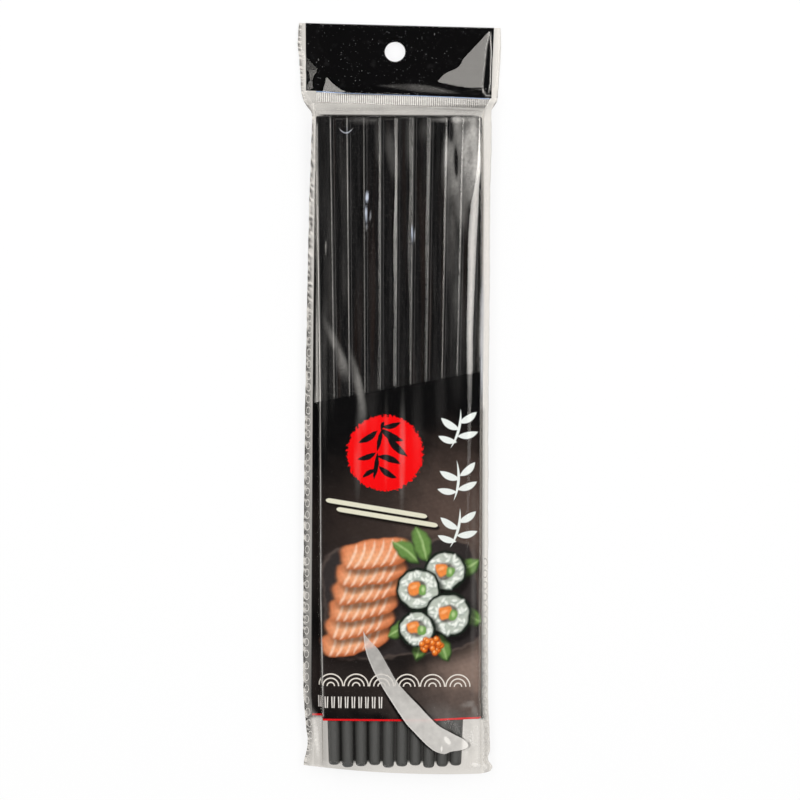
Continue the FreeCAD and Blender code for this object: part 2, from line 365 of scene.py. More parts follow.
def ripples(x, y):
    """Film pulled down between the sticks: a fine crease at each gap, and a slope beside some."""
    place, pitch = gap_place(x, y)
    number = np.round(place)
    away = (place - number) * pitch
    printed = 1.0 - 0.95 * ease((print_edge(x) + 0.8 - y) / 0.9)
    inside = window(number, 1.0, 9.0, 0.4)
    swing = 0.9 + 0.3 * wobble(number * 7.0, y, 17.0, 1.0)
    valley = -0.012 * bell(away, 0.2) * swing

    # Over each stick the film climbs to the right, then drops over a share of the stick's width.
    column = np.floor(place)
    phase = place - column
    high_share = np.interp(column, range(PER_ROW), BAND_SHARE)
    low_share = np.interp(column, range(PER_ROW), BAND_SHARE_LOW)
    share = low_share + (high_share - low_share) * ease((y - 28.0) / 30.0)
    sway = 0.28 * wobble(column * 9.0, y, 13.0, 4.0) + 0.06 * wobble(column * 3.0, y, 2.7, 8.0)
    share = share * (1.0 + sway * ease((share - 0.04) / 0.06))
    slope = 0.175 + 0.03 * wobble(column * 5.0, y, 21.0, 9.0)
    drop = ramp(phase - (0.98 - share), 0.01) - ramp(phase - 0.98, 0.01)
    climb = np.minimum(phase, 0.98 - share) / (0.98 - share) * share
    saw = (climb - drop) * slope * pitch * ease(share / 0.05)
    return (valley + saw) * inside * printed


def horn(x, y):
    """Distance into the long curved crease over the lower panel, and its width there."""
    left = track(y, HORN_LEFT)
    return x - left, np.maximum(track(y, HORN_RIGHT) - left, 0.0)


def film_height(x, y):
    """Height of the upper film."""
    half = stack_half(y)
    top = stack_top(y) + 0.1
    seam = stack_top(y) / 2
    crown = track(y, CROWN) * np.clip(1.0 - (x / (half + np.where(x < 0.0, 7.0, 4.0))) ** 2, 0.0, 1.0)

    # The film falls away past the long highlight band near the right side.
    wide = track(y, BAND_WIDTH)
    past = (x - track(y, BAND_PLACE)) / wide
    fall = track(y, BAND_SLOPE) * wide * (1.0 + np.tanh(past))
    inside, width = horn(x, y)
    crease = fold(inside, width, 0.05, 0.07, 0.3)
    corners = 0.25 * wobble(x, y, 1.9, 5.0) * ease((-119.0 - y) / 5.0) * ease((np.abs(x) - 26.0) / 2.0)
    bumps = ripples(x, y) + crease + corners
    panel = top + crown - fall + bumps * ease((HEAD_Y - y) / 1.2) * ease((y - TIP_Y) / 3.0)
    panel = panel + 0.05 * wobble(x, y, 11.0, 3.0)

    # Walls that bring the film down to the side seams, beyond the heads and beyond the tips.
    left_fold = track(y, LEFT_FOLD)
    wall = np.clip(left_fold - track(y, LEFT_ROOT), 0.3, 0.7)
    left = seam + np.maximum(x - left_fold + wall, 0.0) * (top - seam) / wall
    right = seam + np.maximum(track(y, RIGHT_ROOT) - x, 0.0) * (top - seam - 1.0) / 1.1
    heads = top * 0.5 + np.maximum(WELD_Y - y, 0.0) * (top * 0.5) / (WELD_Y - HEAD_Y - 0.3)
    tips = seam + np.maximum(y - bottom_line(x) - 0.5, 0.0) * seam / 2.8
    return lowest([panel, left, right, heads, tips], 0.12)


def floor_film_height(x, y):
    """Height of the lower film."""
    seam = stack_top(y) / 2
    from_left, to_right = from_seams(x, y)
    left = seam * (1.0 - np.maximum(from_left, 0.0) / 0.45)
    right = seam * (1.0 - np.maximum(to_right, 0.0) / 0.9)
    heads = seam * (1.0 - np.maximum(WELD_Y - y, 0.0) / 4.6)
    tips = seam * (1.0 - np.maximum(y - bottom_line(x) - 0.5, 0.0) / 2.4)
    flat = np.full_like(x, 0.05)
    return -lowest([-left, -right, -heads, -tips, -flat], 0.06)


# Painted highlights and cloudiness on the film: place, half size, turn in degrees, soft edge, strength.
MARKS = (
    ((20.8, 92.0), (3.6, 14.0), -6.0, 0.5, 0.22), ((26.9, 89.5), (3.3, 15.0), -4.0, 0.35, 0.42),
    ((22.9, 75.0), (2.2, 11.0), 6.0, 0.6, 0.12), ((17.4, 90.0), (0.6, 6.0), 0.0, 0.7, 0.3),
    ((18.8, 62.0), (1.8, 17.0), 0.0, 0.5, 0.035), ((19.0, 100.0), (1.1, 4.6), 4.0, 0.5, -0.3),
    ((21.2, 87.6), (0.7, 5.0), 2.0, 0.5, -0.4), ((25.6, 80.8), (2.2, 4.2), 0.0, 0.8, -0.2),
    ((22.0, 103.4), (8.0, 0.9), 0.0, 0.6, 0.2), ((-13.0, 102.8), (4.6, 0.8), 0.0, 0.6, 0.1),
    ((-22.6, 19.5), (1.1, 7.5), 24.0, 0.9, 0.17), ((-20.6, 13.0), (1.5, 5.0), 16.0, 0.9, 0.14),
    ((-14.6, 6.0), (1.2, 7.5), 14.0, 0.9, 0.14), ((-15.8, 12.5), (0.6, 7.0), 18.0, 0.9, 0.05),
    ((-13.0, -4.0), (1.1, 5.5), 6.0, 0.9, 0.1), ((-2.6, 91.0), (1.6, 8.0), 10.0, 0.8, 0.06),
    ((-7.6, 94.0), (1.0, 7.0), 4.0, 0.8, 0.05), ((3.9, 95.0), (1.0, 8.0), 0.0, 0.8, 0.05),
    ((-26.5, 82.0), (2.0, 20.0), 3.0, 0.9, 0.012), ((-20.0, 78.0), (1.4, 14.0), 5.0, 0.9, 0.025),
    ((-19.6, 50.0), (1.0, 12.0), 0.0, 0.9, 0.03), ((10.0, 99.5), (2.0, 3.0), 0.0, 0.9, 0.03),
    ((-26.8, 20.0), (0.9, 26.0), 0.0, 0.8, 0.03), ((2.0, -20.5), (0.9, 17.0), 0.0, 0.7, 0.1),
    ((-14.4, -20.0), (1.0, 12.0), 0.0, 0.9, 0.07), ((-4.0, -15.0), (0.7, 11.0), 0.0, 0.9, 0.05),
    ((7.6, -8.0), (1.6, 16.0), 0.0, 0.9, 0.012), ((-9.0, -2.0), (2.0, 9.0), 0.0, 0.9, 0.012),
    ((16.0, 2.0), (1.6, 10.0), 0.0, 0.9, 0.012), ((28.6, -70.0), (0.8, 30.0), 0.0, 0.9, 0.05),
    ((22.0, 24.0), (2.6, 18.0), 0.0, 0.7, 0.02), ((21.4, 52.0), (2.0, 22.0), 0.0, 0.7, 0.03),
    ((31.2, 22.0), (0.5, 22.0), 0.0, 0.4, 0.4), ((-24.6, 34.0), (1.6, 30.0), 1.0, 0.5, 0.022),
    ((26.6, -112.6), (2.2, 0.9), 12.0, 0.7, 0.12), ((29.4, -114.6), (1.0, 1.6), 20.0, 0.7, 0.1),
    ((30.0, -128.0), (4.5, 9.0), 0.0, 0.6, 0.3), ((-29.2, -126.0), (0.8, 8.0), 6.0, 0.6, 0.6),
    ((29.9, -135.0), (1.7, 0.75), -12.0, 0.5, 0.9), ((26.3, -129.0), (0.8, 4.6), 0.0, 0.6, 0.5),
    ((-28.2, -136.6), (3.2, 0.9), -8.0, 0.7, 0.35), ((33.6, -136.0), (0.5, 1.4), 30.0, 0.6, 0.5),
    ((20.5, -118.0), (8.0, 4.0), -20.0, 0.7, 0.06), ((19.3, -125.9), (1.4, 0.6), -52.0, 0.6, 0.7),
    ((17.2, -129.0), (0.3, 0.8), 0.0, 0.6, 0.6), ((-11.6, 74.6), (0.5, 1.5), 0.0, 0.5, 0.9),
    ((-11.9, 68.2), (0.35, 2.6), 2.0, 0.5, 0.75), ((-10.4, 67.4), (0.25, 1.5), -4.0, 0.6, 0.4),
    ((-11.8, 63.4), (0.25, 0.7), 0.0, 0.6, 0.4), ((5.1, 61.6), (0.22, 2.6), 2.0, 0.6, 0.45),
    ((5.9, 60.5), (0.2, 2.0), 0.0, 0.6, 0.3), ((-26.6, 56.0), (0.2, 2.0), 0.0, 0.6, 0.3),
)


def haze_and_highlight_level(x, y):
    """How cloudy the film is, from 0 to 1, with painted highlights laid in as cloudiness."""
    level = np.full_like(x, 0.0006)
    smear = 1.0 + 0.5 * wobble(x * 2.2, y * 0.8, 9.0, 5.0) + 0.3 * wobble(x * 6.0, y * 2.0, 8.0, 2.0)
    for centre, half, turn, edge, strength in MARKS:
        level += strength * smear * spot(x, y, centre, half, edge, turn)

    # A painted highlight line in each gap between the sticks, down to the print.
    place, pitch = gap_place(x, y)
    number = np.round(place)
    away = (place - number) * pitch
    shown = window(number, 1.0, 9.0, 0.4) * ease((y - print_edge(x) - 0.2) / 0.6)
    shown = shown * ease((HEAD_Y - 0.4 - y) / 0.8)
    line = (0.3 + 0.1 * wobble(number * 8.0, y, 12.0, 3.0)) * (0.7 + 0.3 * ease((y - 10.0) / 60.0))
    line = line * np.interp(number, range(PER_ROW + 1), GAP_LINES)
    level += line * bell(away, 0.13) * shown
    dust = 1.0 + 0.3 * wobble(x * 3.0, y, 1.3, 4.0) * wobble(x, y * 2.0, 0.9, 7.0)
    level = level * ease((HEAD_Y + 0.2 - y) / 0.6) * dust

    # A painted highlight along the fold at the left side, wider and brighter below the middle.
    below = ease((32.0 - y) / 8.0)
    off_fold = x - track(y, LEFT_FOLD) - track(y, ((0.0, -0.05), (60.0, 0.25), (104.0, 0.4)))
    fold_line = bell(off_fold, 0.2 + 0.1 * below) * (1.0 + 0.25 * wobble(y, y, 7.0, 1.0))
    level += fold_line * (0.4 + 0.3 * below) * window(y, -117.0, 101.0, 1.0)

    # The seams; painted highlight lines under the shoulder and on the header's creases; a smear on the
    # header.
    from_left, to_right = from_seams(x, y)
    level += 0.02 * ease(-np.minimum(from_left, to_right) / 0.4)
    level += 0.35 * bell(y - HEAD_Y - 1.3, 0.4) * (np.abs(x) < 31.0)
    for line_x in (track(y, CORNER_CREASE), track(y, CORNER_MARGIN)):
        level += 0.45 * bell(x - line_x, 0.2) * window(y, 114.4, 136.5, 0.6)
    lens = blade(x, y, (8.0, 115.6), (14.8, 1.25), 0.25, -5.2, bow=-0.5, fullness=1.7)
    level += 0.085 * lens * (0.8 + 0.3 * wobble(x, y, 5.0, 3.0)) * (y > 112.6)
    curl = spot(x, y, (31.7, 114.2), (0.4, 1.5), 0.5, 24.0) + spot(x, y, (33.2, 113.0), (0.9, 0.4), 0.5)
    return np.clip(level + 0.35 * curl, 0.0, 1.0)


def shininess(x, y):
    """How much more, or less, of the light the film mirrors."""
    place = gap_place(x, y)[0]
    level = np.interp(place, np.arange(PER_ROW) + 0.8, BAND_SHINE) * ease((HEAD_Y - y) / 2.0)
    dimmed = (level + GLOSS) * track(y, DIMMING) - GLOSS
    level += (dimmed - level) * ease((25.4 - x) / 1.2) * (y < 106.0)
    glow = track(y, BAND_GLOW) * bell(x - track(y, BAND_PLACE), track(y, BAND_WIDTH) + 0.2)
    level = np.where(y < print_edge(x) + 0.3, -0.08, level) + glow * (y < SHOULDER_Y)

    # The header: dull under its corner facets, and in the narrow valley beside its right edge.
    level = np.where((y < 118.1 - 0.17 * (x - 13.5)) & (y > 110.0) & (x > 4.0), -0.085, level)
    core = ease((x - track(y, CORNER_CREASE) - 0.15) / 0.2)
    core = core * ease((track(y, CORNER_MARGIN) - 0.1 - x) / 0.2)
    level -= (level + GLOSS) * core * window(y, 115.6, 134.5, 1.0)
    flank = ease((-29.6 - x) / 0.3) * ease((y - 113.6) / 0.6)
    level -= flank * (0.042 + 0.024 * ease((y - 121.4) / 1.6))
    tent = ease((y - 113.0) / 0.5) * ease((x + 29.0) / 0.4) * ease((-19.0 - x) / 1.0)
    level += 0.012 * tent

    # The steep film beside each seam, and the seams themselves.
    from_left, to_right = from_seams(x, y)
    level -= 0.06 * bell(from_left - 0.6, 0.5) * ease((66.0 - y) / 30.0) * (y > -118.0)
    side = window(to_right, 0.35, 0.9, 0.2) * ease((y - 44.0) / 10.0) * (y < SHOULDER_Y)
    level -= 0.15 * side
    return level + (-0.05 - level) * ease(-np.minimum(from_left, to_right) / 0.3)


def underside_shade(x, y):
    """Painted shade on the lower film, from 0 to 1: deepest in the gaps between the sticks."""
    half = stack_half(y)
    from_left, to_right = from_seams(x, y)
    low_end = ease((-116.0 - y) / 3.0)

    # Painted shade under the sticks and in the strips between them and the seams.
    under = ease((half - 0.3 - np.abs(x)) / 0.6) * ease((HEAD_Y + 1.5 - y) / 0.4)
    under = under * ease((y - TIP_Y - 0.8) / 0.8)
    dark_line = 0.5 + window(from_left, 0.3, 0.95, 0.35)
    left_strip = ease(from_left / 0.2) * ease((-half - x) / 0.3) * dark_line * track(y, LEFT_STRIP_SHADE)
    soft = 0.16 + 0.44 * window(y, 18.0, 34.0, 14.0)
    right_strip = 0.92 * ease((to_right - track(y, WELD_CREEP)) / soft) * ease((x - half + 1.0) / 0.3)
    strips = (left_strip + right_strip) * window(y, -118.0, 102.0, 1.0)
    level = np.maximum((0.93 - 0.15 * low_end) * under, strips)
    inside = ease(from_left / 0.4) * ease(to_right / 0.4)
    level += 0.12 * inside

    # The clear end below the print: darker to the left, with painted shade along a crease at the right.
    level = level + 0.13 * low_end * ease((0.0 - x) / 20.0) + 0.05 * low_end
    level += 0.1 * low_end * window(x, -27.0, -25.4, 0.6)
    level += 0.14 * low_end * bell(x - 28.0 + 0.06 * (y + 128.0), 0.35) * (y > -136.5)

    # The left seam: grey, with pale chips at its edge and dark specks.
    seam = ease(-from_left / 0.3)
    mottle = 0.1 * wobble(x * 2.0, y, 0.9, 4.0) * ease((SHOULDER_Y - y) / 20.0)
    level += seam * (track(y, LEFT_SEAM_SHADE) + mottle)
    chips = wobble(x * 1.1, y, 0.62, 8.0) * 1.8 + wobble(y, x, 1.7, 4.0) * 1.4
    chips = np.clip(chips, 0.0, 1.0) * ease((track(y, LEFT_EDGE) + 1.6 - x) / 0.5)
    level -= 0.6 * chips * window(y, 38.0, 82.0, 14.0) * seam
    level -= 0.3 * bell(from_left + 0.4, 0.3) * seam
    specks = wobble(x * 1.3, y, 0.37, 2.0) * 1.5 + wobble(y, x * 1.9, 0.61, 11.0) * 1.7
    specks = np.clip(specks * (1.0 + 0.6 * wobble(y, y, 5.0, 2.0)) - 0.8, 0.0, 1.0)
    level += 0.5 * specks * ease((-from_left - 0.5) / 0.3) * window(y, 20.0, 90.0, 20.0)

    # The shoulder with painted shade along its wrinkle, a darker rim of the bag, and the lower right seam.
    shoulder = window(y, 105.6, 110.0, 1.2)
    wrinkle = bell(y - 108.7 + 0.052 * np.maximum(x - 4.0, 0.0), 0.22) * ease((x + 12.0) / 14.0)
    level = level + shoulder * (0.12 + 0.06 * wobble(x, y * 3.0, 4.0, 3.0)) + 0.22 * wrinkle * inside
    rim = np.minimum(x - track(y, LEFT_EDGE), track(y, RIGHT_EDGE) - x)
    level += (0.3 + 0.3 * (y > 113.0) * (x < 0.0)) * ease((0.35 - rim) / 0.35)
    low_right = ease((-60.0 - y) / 40.0) * ease(-to_right / 0.4)
    level += low_right * (0.34 + 0.14 * wobble(x * 2.0, y, 0.8, 6.0))
    return np.clip(level, 0.0, 0.985)


def coolness(x, y):
    """Where the film's small highlights are bluish, from 0 to 1."""
    level = 0.3 * spot(x, y, (-19.4, 98.6), (3.6, 1.4), 0.3)
    for centre, half in (
        ((-11.4, 71.0), (1.3, 8.0)), ((5.4, 61.0), (0.8, 3.5)), ((31.3, 22.0), (0.8, 24.0)),
    ):
        level += 0.4 * spot(x, y, centre, half, 0.3)
    return np.clip(level, 0.0, 1.0)


# --- mesh helpers ---------------------------------------------------------------------------------


def add_object(name):
    """Names the primitive just added, and puts its place into its mesh."""
    obj = bpy.context.object
    obj.name = name
    obj.data.name = name
    bpy.ops.object.transform_apply(location=True, rotation=True, scale=True)
    return obj


def only(obj):
    """Selects one object and makes it active."""
    bpy.ops.object.select_all(action="DESELECT")
    obj.select_set(True)
    bpy.context.view_layer.objects.active = obj


def in_edit_mode(obj, *steps):
    """Runs edit-mode steps on the whole of one object's mesh."""
    only(obj)
    bpy.ops.object.mode_set(mode="EDIT")
    bpy.ops.mesh.select_all(action="SELECT")
    for step in steps:
        step()
    bpy.ops.object.mode_set(mode="OBJECT")


def smooth(obj):
    """Shades one object smooth."""
    only(obj)
    bpy.ops.object.shade_smooth()


def apply_modifier(obj, kind, **settings):
    """Adds a modifier, sets it and applies it."""
    only(obj)
    made = obj.modifiers.new(kind.title(), kind)
    for key, value in settings.items():
        setattr(made, key, value)
    bpy.ops.object.modifier_apply(modifier=made.name)


def places(obj):
    """Mesh points in millimetres."""
    co = np.empty(len(obj.data.vertices) * 3)
    obj.data.vertices.foreach_get("co", co)
    return co.reshape(-1, 3) / MM


def put(obj, points):
    """Moves the mesh points, given in millimetres."""
    obj.data.vertices.foreach_set("co", np.ascontiguousarray(points, dtype=float).ravel() * MM)
    obj.data.update()


def add_grid(name, columns, rows):
    """A flat grid one unit wide; returns it with each point's column and row."""
    bpy.ops.object.select_all(action="DESELECT")
    bpy.ops.mesh.primitive_grid_add(x_subdivisions=columns, y_subdivisions=rows, size=1.0)
    obj = add_object(name)
    co = places(obj) * MM
    column = np.rint((co[:, 0] + 0.5) * columns).astype(int)
    row = np.rint((co[:, 1] + 0.5) * rows).astype(int)
    return obj, column, row


def paint_value(obj, name, values):
    """Stores one number per point, for the finish to read."""
    store = obj.data.attributes.new(name, "FLOAT", "POINT")
    store.data.foreach_set("value", np.asarray(values, dtype=np.float32))


def finish_piece(obj, body, slot, *materials):
    """Gives a piece its finishes and its body."""
    obj.data.materials.clear()
    for material in materials:
        obj.data.materials.append(material)
    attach(obj, body)


# --- finishes -------------------------------------------------------------------------------------

BLACK = (0.0, 0.0, 0.0, 1.0)
WHITE = (1.0, 1.0, 1.0, 1.0)


def tone(red, green, blue):
    """Colour from eight-bit values, as a finish stores it."""
    def one(value):
        share = value / 255
        return share / 12.92 if share <= 0.04045 else ((share + 0.055) / 1.055) ** 2.4
    return (one(red), one(green), one(blue), 1.0)


def feed(tree, made, inputs):
    """Links a node's inputs to other nodes, or sets them to plain values."""
    for key, value in inputs.items():
        if isinstance(value, bpy.types.NodeSocket):
            tree.links.new(value, made.inputs[key])
        else:
            made.inputs[key].default_value = value


def node(tree, kind, inputs, **settings):
    """Adds a node with its settings and its inputs."""
    made = tree.nodes.new(kind)
    for key, value in settings.items():
        setattr(made, key, value)
    feed(tree, made, inputs)
    return made


def calc(tree, operation, *values, clamp=False):
    """One step of arithmetic."""
    inputs = dict(enumerate(values))
    return node(tree, "ShaderNodeMath", inputs, operation=operation, use_clamp=clamp).outputs[0]


def times(tree, *values):
    """Product of two values."""
    return calc(tree, "MULTIPLY", *values)


def plus(tree, *values, clamp=False):
    """Sum of two values."""
    return calc(tree, "ADD", *values, clamp=clamp)


def minus(tree, *values):
    """First value less the second."""
    return calc(tree, "SUBTRACT", *values)


def scaled(tree, value, factor, shift, clamp=False):
    """A value times a factor, plus a shift."""
    return calc(tree, "MULTIPLY_ADD", value, factor, shift, clamp=clamp)


def distance(tree, value, place):
    """How far a value is from a place, whichever side it is on."""
    return calc(tree, "ABSOLUTE", minus(tree, value, place))


def vector(tree, operation, *values):
    """One step of arithmetic on places or sizes."""
    inputs = dict(enumerate(values))
    return node(tree, "ShaderNodeVectorMath", inputs, operation=operation).outputs[0]


def axes(tree, points):
    """Places across and along."""
    parts = node(tree, "ShaderNodeSeparateXYZ", {0: points}).outputs
    return parts["X"], parts["Y"]


def painted(tree, name):
    """A value that was painted on the piece's points."""
    return node(tree, "ShaderNodeAttribute", {}, attribute_name=name).outputs["Fac"]


def show(tree, shader):
    """Makes a shader the finish that is seen."""
    feed(tree, tree.nodes["Material Output"], {"Surface": shader.outputs[0]})


def bump(tree, height, strength, distance):
    """Fine relief, for a shader's Normal."""
    inputs = {"Height": height, "Strength": strength, "Distance": distance * MM}
    return node(tree, "ShaderNodeBump", inputs).outputs[0]


def between(tree, value, low, high, to_low=0.0, to_high=1.0):
    """Smooth step of a value from one range to another."""
    inputs = {"Value": value, "From Min": low, "From Max": high, "To Min": to_low, "To Max": to_high}
    return node(tree, "ShaderNodeMapRange", inputs, interpolation_type="SMOOTHSTEP").outputs["Result"]


def blend(tree, mask, under, over):
    """Lays one colour over another through a mask."""
    return node(tree, "ShaderNodeMix", {0: mask, 6: under, 7: over}, data_type="RGBA").outputs[2]


def noise(tree, points, scale, detail=2.0, stretch=(1.0, 1.0, 1.0)):
    """Even noise, from about 0 to 1, on points in millimetres."""
    inputs = {"Vector": vector(tree, "MULTIPLY", points, stretch), "Scale": scale, "Detail": detail}
    return node(tree, "ShaderNodeTexNoise", inputs).outputs["Fac"]


def new_finish(name):
    """A new material with its shader, and the object's own points in millimetres."""
    material = bpy.data.materials.new(name)
    material.use_nodes = True
    tree = material.node_tree
    tree.nodes.clear()
    tree.nodes.new("ShaderNodeOutputMaterial")
    shader = tree.nodes.new("ShaderNodeBsdfPrincipled")
    source = tree.nodes.new("ShaderNodeTexCoord").outputs["Object"]
    points = node(tree, "ShaderNodeVectorMath", {0: source, "Scale": 1.0 / MM}, operation="SCALE")
    show(tree, shader)
    return material, tree, shader, points.outputs[0]


def new_group(name, sockets):
    """A node group that takes the named sockets and gives one Mask."""
    group = bpy.data.node_groups.new(name, "ShaderNodeTree")
    for label, kind, default in sockets:
        made = group.interface.new_socket(label, in_out="INPUT", socket_type=kind)
        made.default_value = default
    group.interface.new_socket("Mask", in_out="OUTPUT", socket_type="NodeSocketFloat")
    start = group.nodes.new("NodeGroupInput").outputs
    end = group.nodes.new("NodeGroupOutput").inputs
    return group, start, end


def local_points(group, start):
    """Points turned and moved to a motif's own centre, with a rough edge."""
    away = vector(group, "SUBTRACT", start["Vector"], start["Centre"])
    inputs = {"Vector": start["Vector"], "Scale": start["Grain"], "Detail": 2.0}
    coarse = node(group, "ShaderNodeTexNoise", inputs).outputs["Color"]
    shift = vector(group, "SUBTRACT", coarse, (0.5, 0.5, 0.5))
    rough = node(group, "ShaderNodeVectorMath", {0: shift, "Scale": start["Rough"]}, operation="SCALE")
    moved = vector(group, "ADD", away, rough.outputs[0])
    inputs = {"Vector": moved, "Angle": times(group, start["Turn"], -1.0)}
    return node(group, "ShaderNodeVectorRotate", inputs, rotation_type="Z_AXIS").outputs[0]


MOTIF_SOCKETS = [
    ("Vector", "NodeSocketVector", (0.0, 0.0, 0.0)),
    ("Centre", "NodeSocketVector", (0.0, 0.0, 0.0)),
    ("Half Size", "NodeSocketVector", (1.0, 1.0, 1.0)),
    ("Turn", "NodeSocketFloat", 0.0),
    ("Edge", "NodeSocketFloat", 0.1),
    ("Rough", "NodeSocketFloat", 0.0),
    ("Grain", "NodeSocketFloat", 0.3),
]


def spot_group():
    """Round or oval spot, soft or crisp."""
    group, start, end = new_group("printed spot", MOTIF_SOCKETS)
    flat = vector(group, "MULTIPLY", local_points(group, start), (1.0, 1.0, 0.0))
    shares = vector(group, "DIVIDE", flat, start["Half Size"])
    reach = node(group, "ShaderNodeVectorMath", {0: shares}, operation="LENGTH").outputs["Value"]
    inner = minus(group, 1.0, start["Edge"])
    outer = plus(group, 1.0, start["Edge"])
    group.links.new(between(group, reach, inner, outer, 1.0, 0.0), end["Mask"])
    return group


def blade_group():
    """Long shape with pointed or blunt ends, straight or bowed."""
    sockets = MOTIF_SOCKETS + [("Bow", "NodeSocketFloat", 0.0), ("Fullness", "NodeSocketFloat", 2.0)]
    group, start, end = new_group("printed blade", sockets)
    u, v = axes(group, local_points(group, start))
    half_u, half_v = axes(group, start["Half Size"])
    along_it = calc(group, "ABSOLUTE", calc(group, "DIVIDE", u, half_u))
    bow = times(group, start["Bow"], times(group, along_it, along_it))
    across = calc(group, "DIVIDE", distance(group, v, bow), half_v)
    taper = minus(group, 1.0, calc(group, "POWER", along_it, start["Fullness"]))
    depth = minus(group, taper, across)
    low = times(group, start["Edge"], -1.0)
    group.links.new(between(group, depth, low, start["Edge"]), end["Mask"])
    return group


def edge_curve(tree, height, line):
    """Place across of an outline, read from its height on the pack."""
    share = scaled(tree, height, 1.0 / CURVE_HEIGHT, -CURVE_LOW_Y / CURVE_HEIGHT, clamp=True)
    made = node(tree, "ShaderNodeFloatCurve", {"Value": share})
    curve = made.mapping.curves[0]
    for y, x in line:
        curve.points.new((y - CURVE_LOW_Y) / CURVE_HEIGHT, (x - CURVE_LOW_X) / CURVE_WIDTH)
    for end in (curve.points[0], curve.points[-1]):
        x = track(end.location[0] * CURVE_HEIGHT + CURVE_LOW_Y, line)
        end.location[1] = (x - CURVE_LOW_X) / CURVE_WIDTH
    made.mapping.update()
    return scaled(tree, made.outputs[0], CURVE_WIDTH, CURVE_LOW_X)


def long_crease(tree, points):
    """Painted reflection and painted shadow outline of the long curved crease over the lower panel."""
    x, y = axes(tree, points)
    left = minus(tree, x, edge_curve(tree, y, HORN_LEFT))
    right = minus(tree, edge_curve(tree, y, HORN_RIGHT), x)
    inside = times(tree, between(tree, left, -0.1, 0.2), between(tree, right, -0.1, 0.35))
    inside = times(tree, inside, between(tree, y, -131.2, -130.6))
    inside = times(tree, inside, between(tree, y, -84.8, -86.0))
    body = between(tree, y, -90.0, -122.0, 0.44, 0.66)
    fibre = noise(tree, points, 0.35, 2.0)
    body = plus(tree, body, scaled(tree, fibre, 0.3, -0.15))
    rim = times(tree, between(tree, left, 0.7, 0.1), 0.22)
    haze_and_highlight = times(tree, inside, plus(tree, body, rim))

    # A small arc of light near the heads, towards the left.
    across = plus(tree, x, 19.5)
    bowed = scaled(tree, times(tree, across, across), 0.27, 98.2)
    line = between(tree, distance(tree, y, bowed), 0.3, 0.12, 0.0, 0.55)
    ends = between(tree, calc(tree, "ABSOLUTE", across), 2.9, 1.6)
    haze_and_highlight = plus(tree, haze_and_highlight, times(tree, line, ends))

    # Painted shadow: a dark outline on both sides of the crease's lower half.
    dark = times(tree, between(tree, left, -1.5, -0.4), between(tree, left, 0.1, -0.1))
    beyond = times(tree, between(tree, right, -1.2, -0.4), between(tree, right, 0.1, -0.1))
    dark = calc(tree, "MAXIMUM", dark, beyond)
    dark = times(tree, dark, between(tree, y, -104.0, -114.0))
    dark = times(tree, dark, between(tree, y, -131.0, -129.0))
    return haze_and_highlight, times(tree, dark, 0.78)


def film_finish(name, tint, straight_on, roughness, cloud=0.0, creased=False):
    """Clear film: tinted see-through with painted shade, a mirror share, and cloudiness with painted
    highlights.
    """
    material, tree, shader, points = new_finish(name)
    facing = node(tree, "ShaderNodeLayerWeight", {"Blend": 0.5}).outputs["Facing"]
    steep = calc(tree, "POWER", facing, 5.0)
    shine = painted(tree, "shine")
    mirror = scaled(tree, steep, 1.0 - straight_on, straight_on)
    mirror = plus(tree, mirror, shine, clamp=True)
    haze_and_highlight = painted(tree, "haze_and_highlight")
    shade = painted(tree, "shade")
    fine = scaled(tree, noise(tree, points, 0.9, 3.0), 0.9, 0.55)
    haze_and_highlight = plus(tree, times(tree, haze_and_highlight, fine), cloud, clamp=True)
    # The long crease adds painted reflection to the cloudiness and painted shadow to the shade.
    if creased:
        added, dark = long_crease(tree, points)
        dust = between(tree, noise(tree, points, 3.1, 2.0, (1.0, 0.7, 1.0)), 0.56, 0.84, 0.0, 0.1)
        x, y = axes(tree, points)
        past_print = scaled(tree, x, -PRINT_SLOPE, y)
        dust = times(tree, dust, between(tree, past_print, 4.5, 5.5, 0.25, 1.0))
        dust = times(tree, dust, between(tree, y, SHOULDER_Y + 0.5, SHOULDER_Y - 1.0, 0.08, 1.0))
        haze_and_highlight = plus(tree, haze_and_highlight, plus(tree, added, dust), clamp=True)
        shade = plus(tree, shade, dark, clamp=True)
    rest = times(tree, minus(tree, 1.0, mirror), haze_and_highlight)
    share = plus(tree, mirror, rest)
    metal = calc(tree, "DIVIDE", mirror, share)
    colour = blend(tree, painted(tree, "cool"), tone(238, 234, 228), tone(120, 160, 215))
    waves = bump(tree, noise(tree, points, 0.55, 2.0), 0.35, 0.015)
    inputs = {"Base Color": colour, "Roughness": roughness, "Metallic": metal, "Normal": waves}
    feed(tree, shader, inputs)
    seen_through = blend(tree, shade, tint, BLACK)
    clear = node(tree, "ShaderNodeBsdfTransparent", {"Color": seen_through})
    mixed = node(tree, "ShaderNodeMixShader", {0: share, 1: clear.outputs[0], 2: shader.outputs[0]})
    show(tree, mixed)
    return material


def stick_finish():
    """Satin black plastic, streaked along its length, with matt grey ends."""
    material, tree, shader, points = new_finish("satin black sticks")
    # Greyer and rougher towards the tips.
    towards_tips = between(tree, axes(tree, points)[1], -103.0, -117.0)
    streak = noise(tree, points, 1.0, 3.0, (1.2, 0.035, 1.0))
    warm = noise(tree, points, 0.5, 2.0, (0.8, 0.02, 0.5))
    dark = blend(tree, between(tree, streak, 0.35, 0.72), tone(3, 3, 4), tone(18, 17, 18))
    dark = blend(tree, between(tree, warm, 0.52, 0.75), dark, tone(29, 19, 15))
    grain = noise(tree, points, 6.0, 3.0)
    grey = blend(tree, grain, tone(59, 60, 59), tone(77, 77, 75))
    colour = blend(tree, towards_tips, dark, grey)
    rough = scaled(tree, towards_tips, 0.3, scaled(tree, streak, 0.2, 0.1))
    relief = bump(tree, grain, 0.2, 0.03)
    feed(tree, shader, {"Base Color": colour, "Roughness": rough, "Normal": relief})
    return material


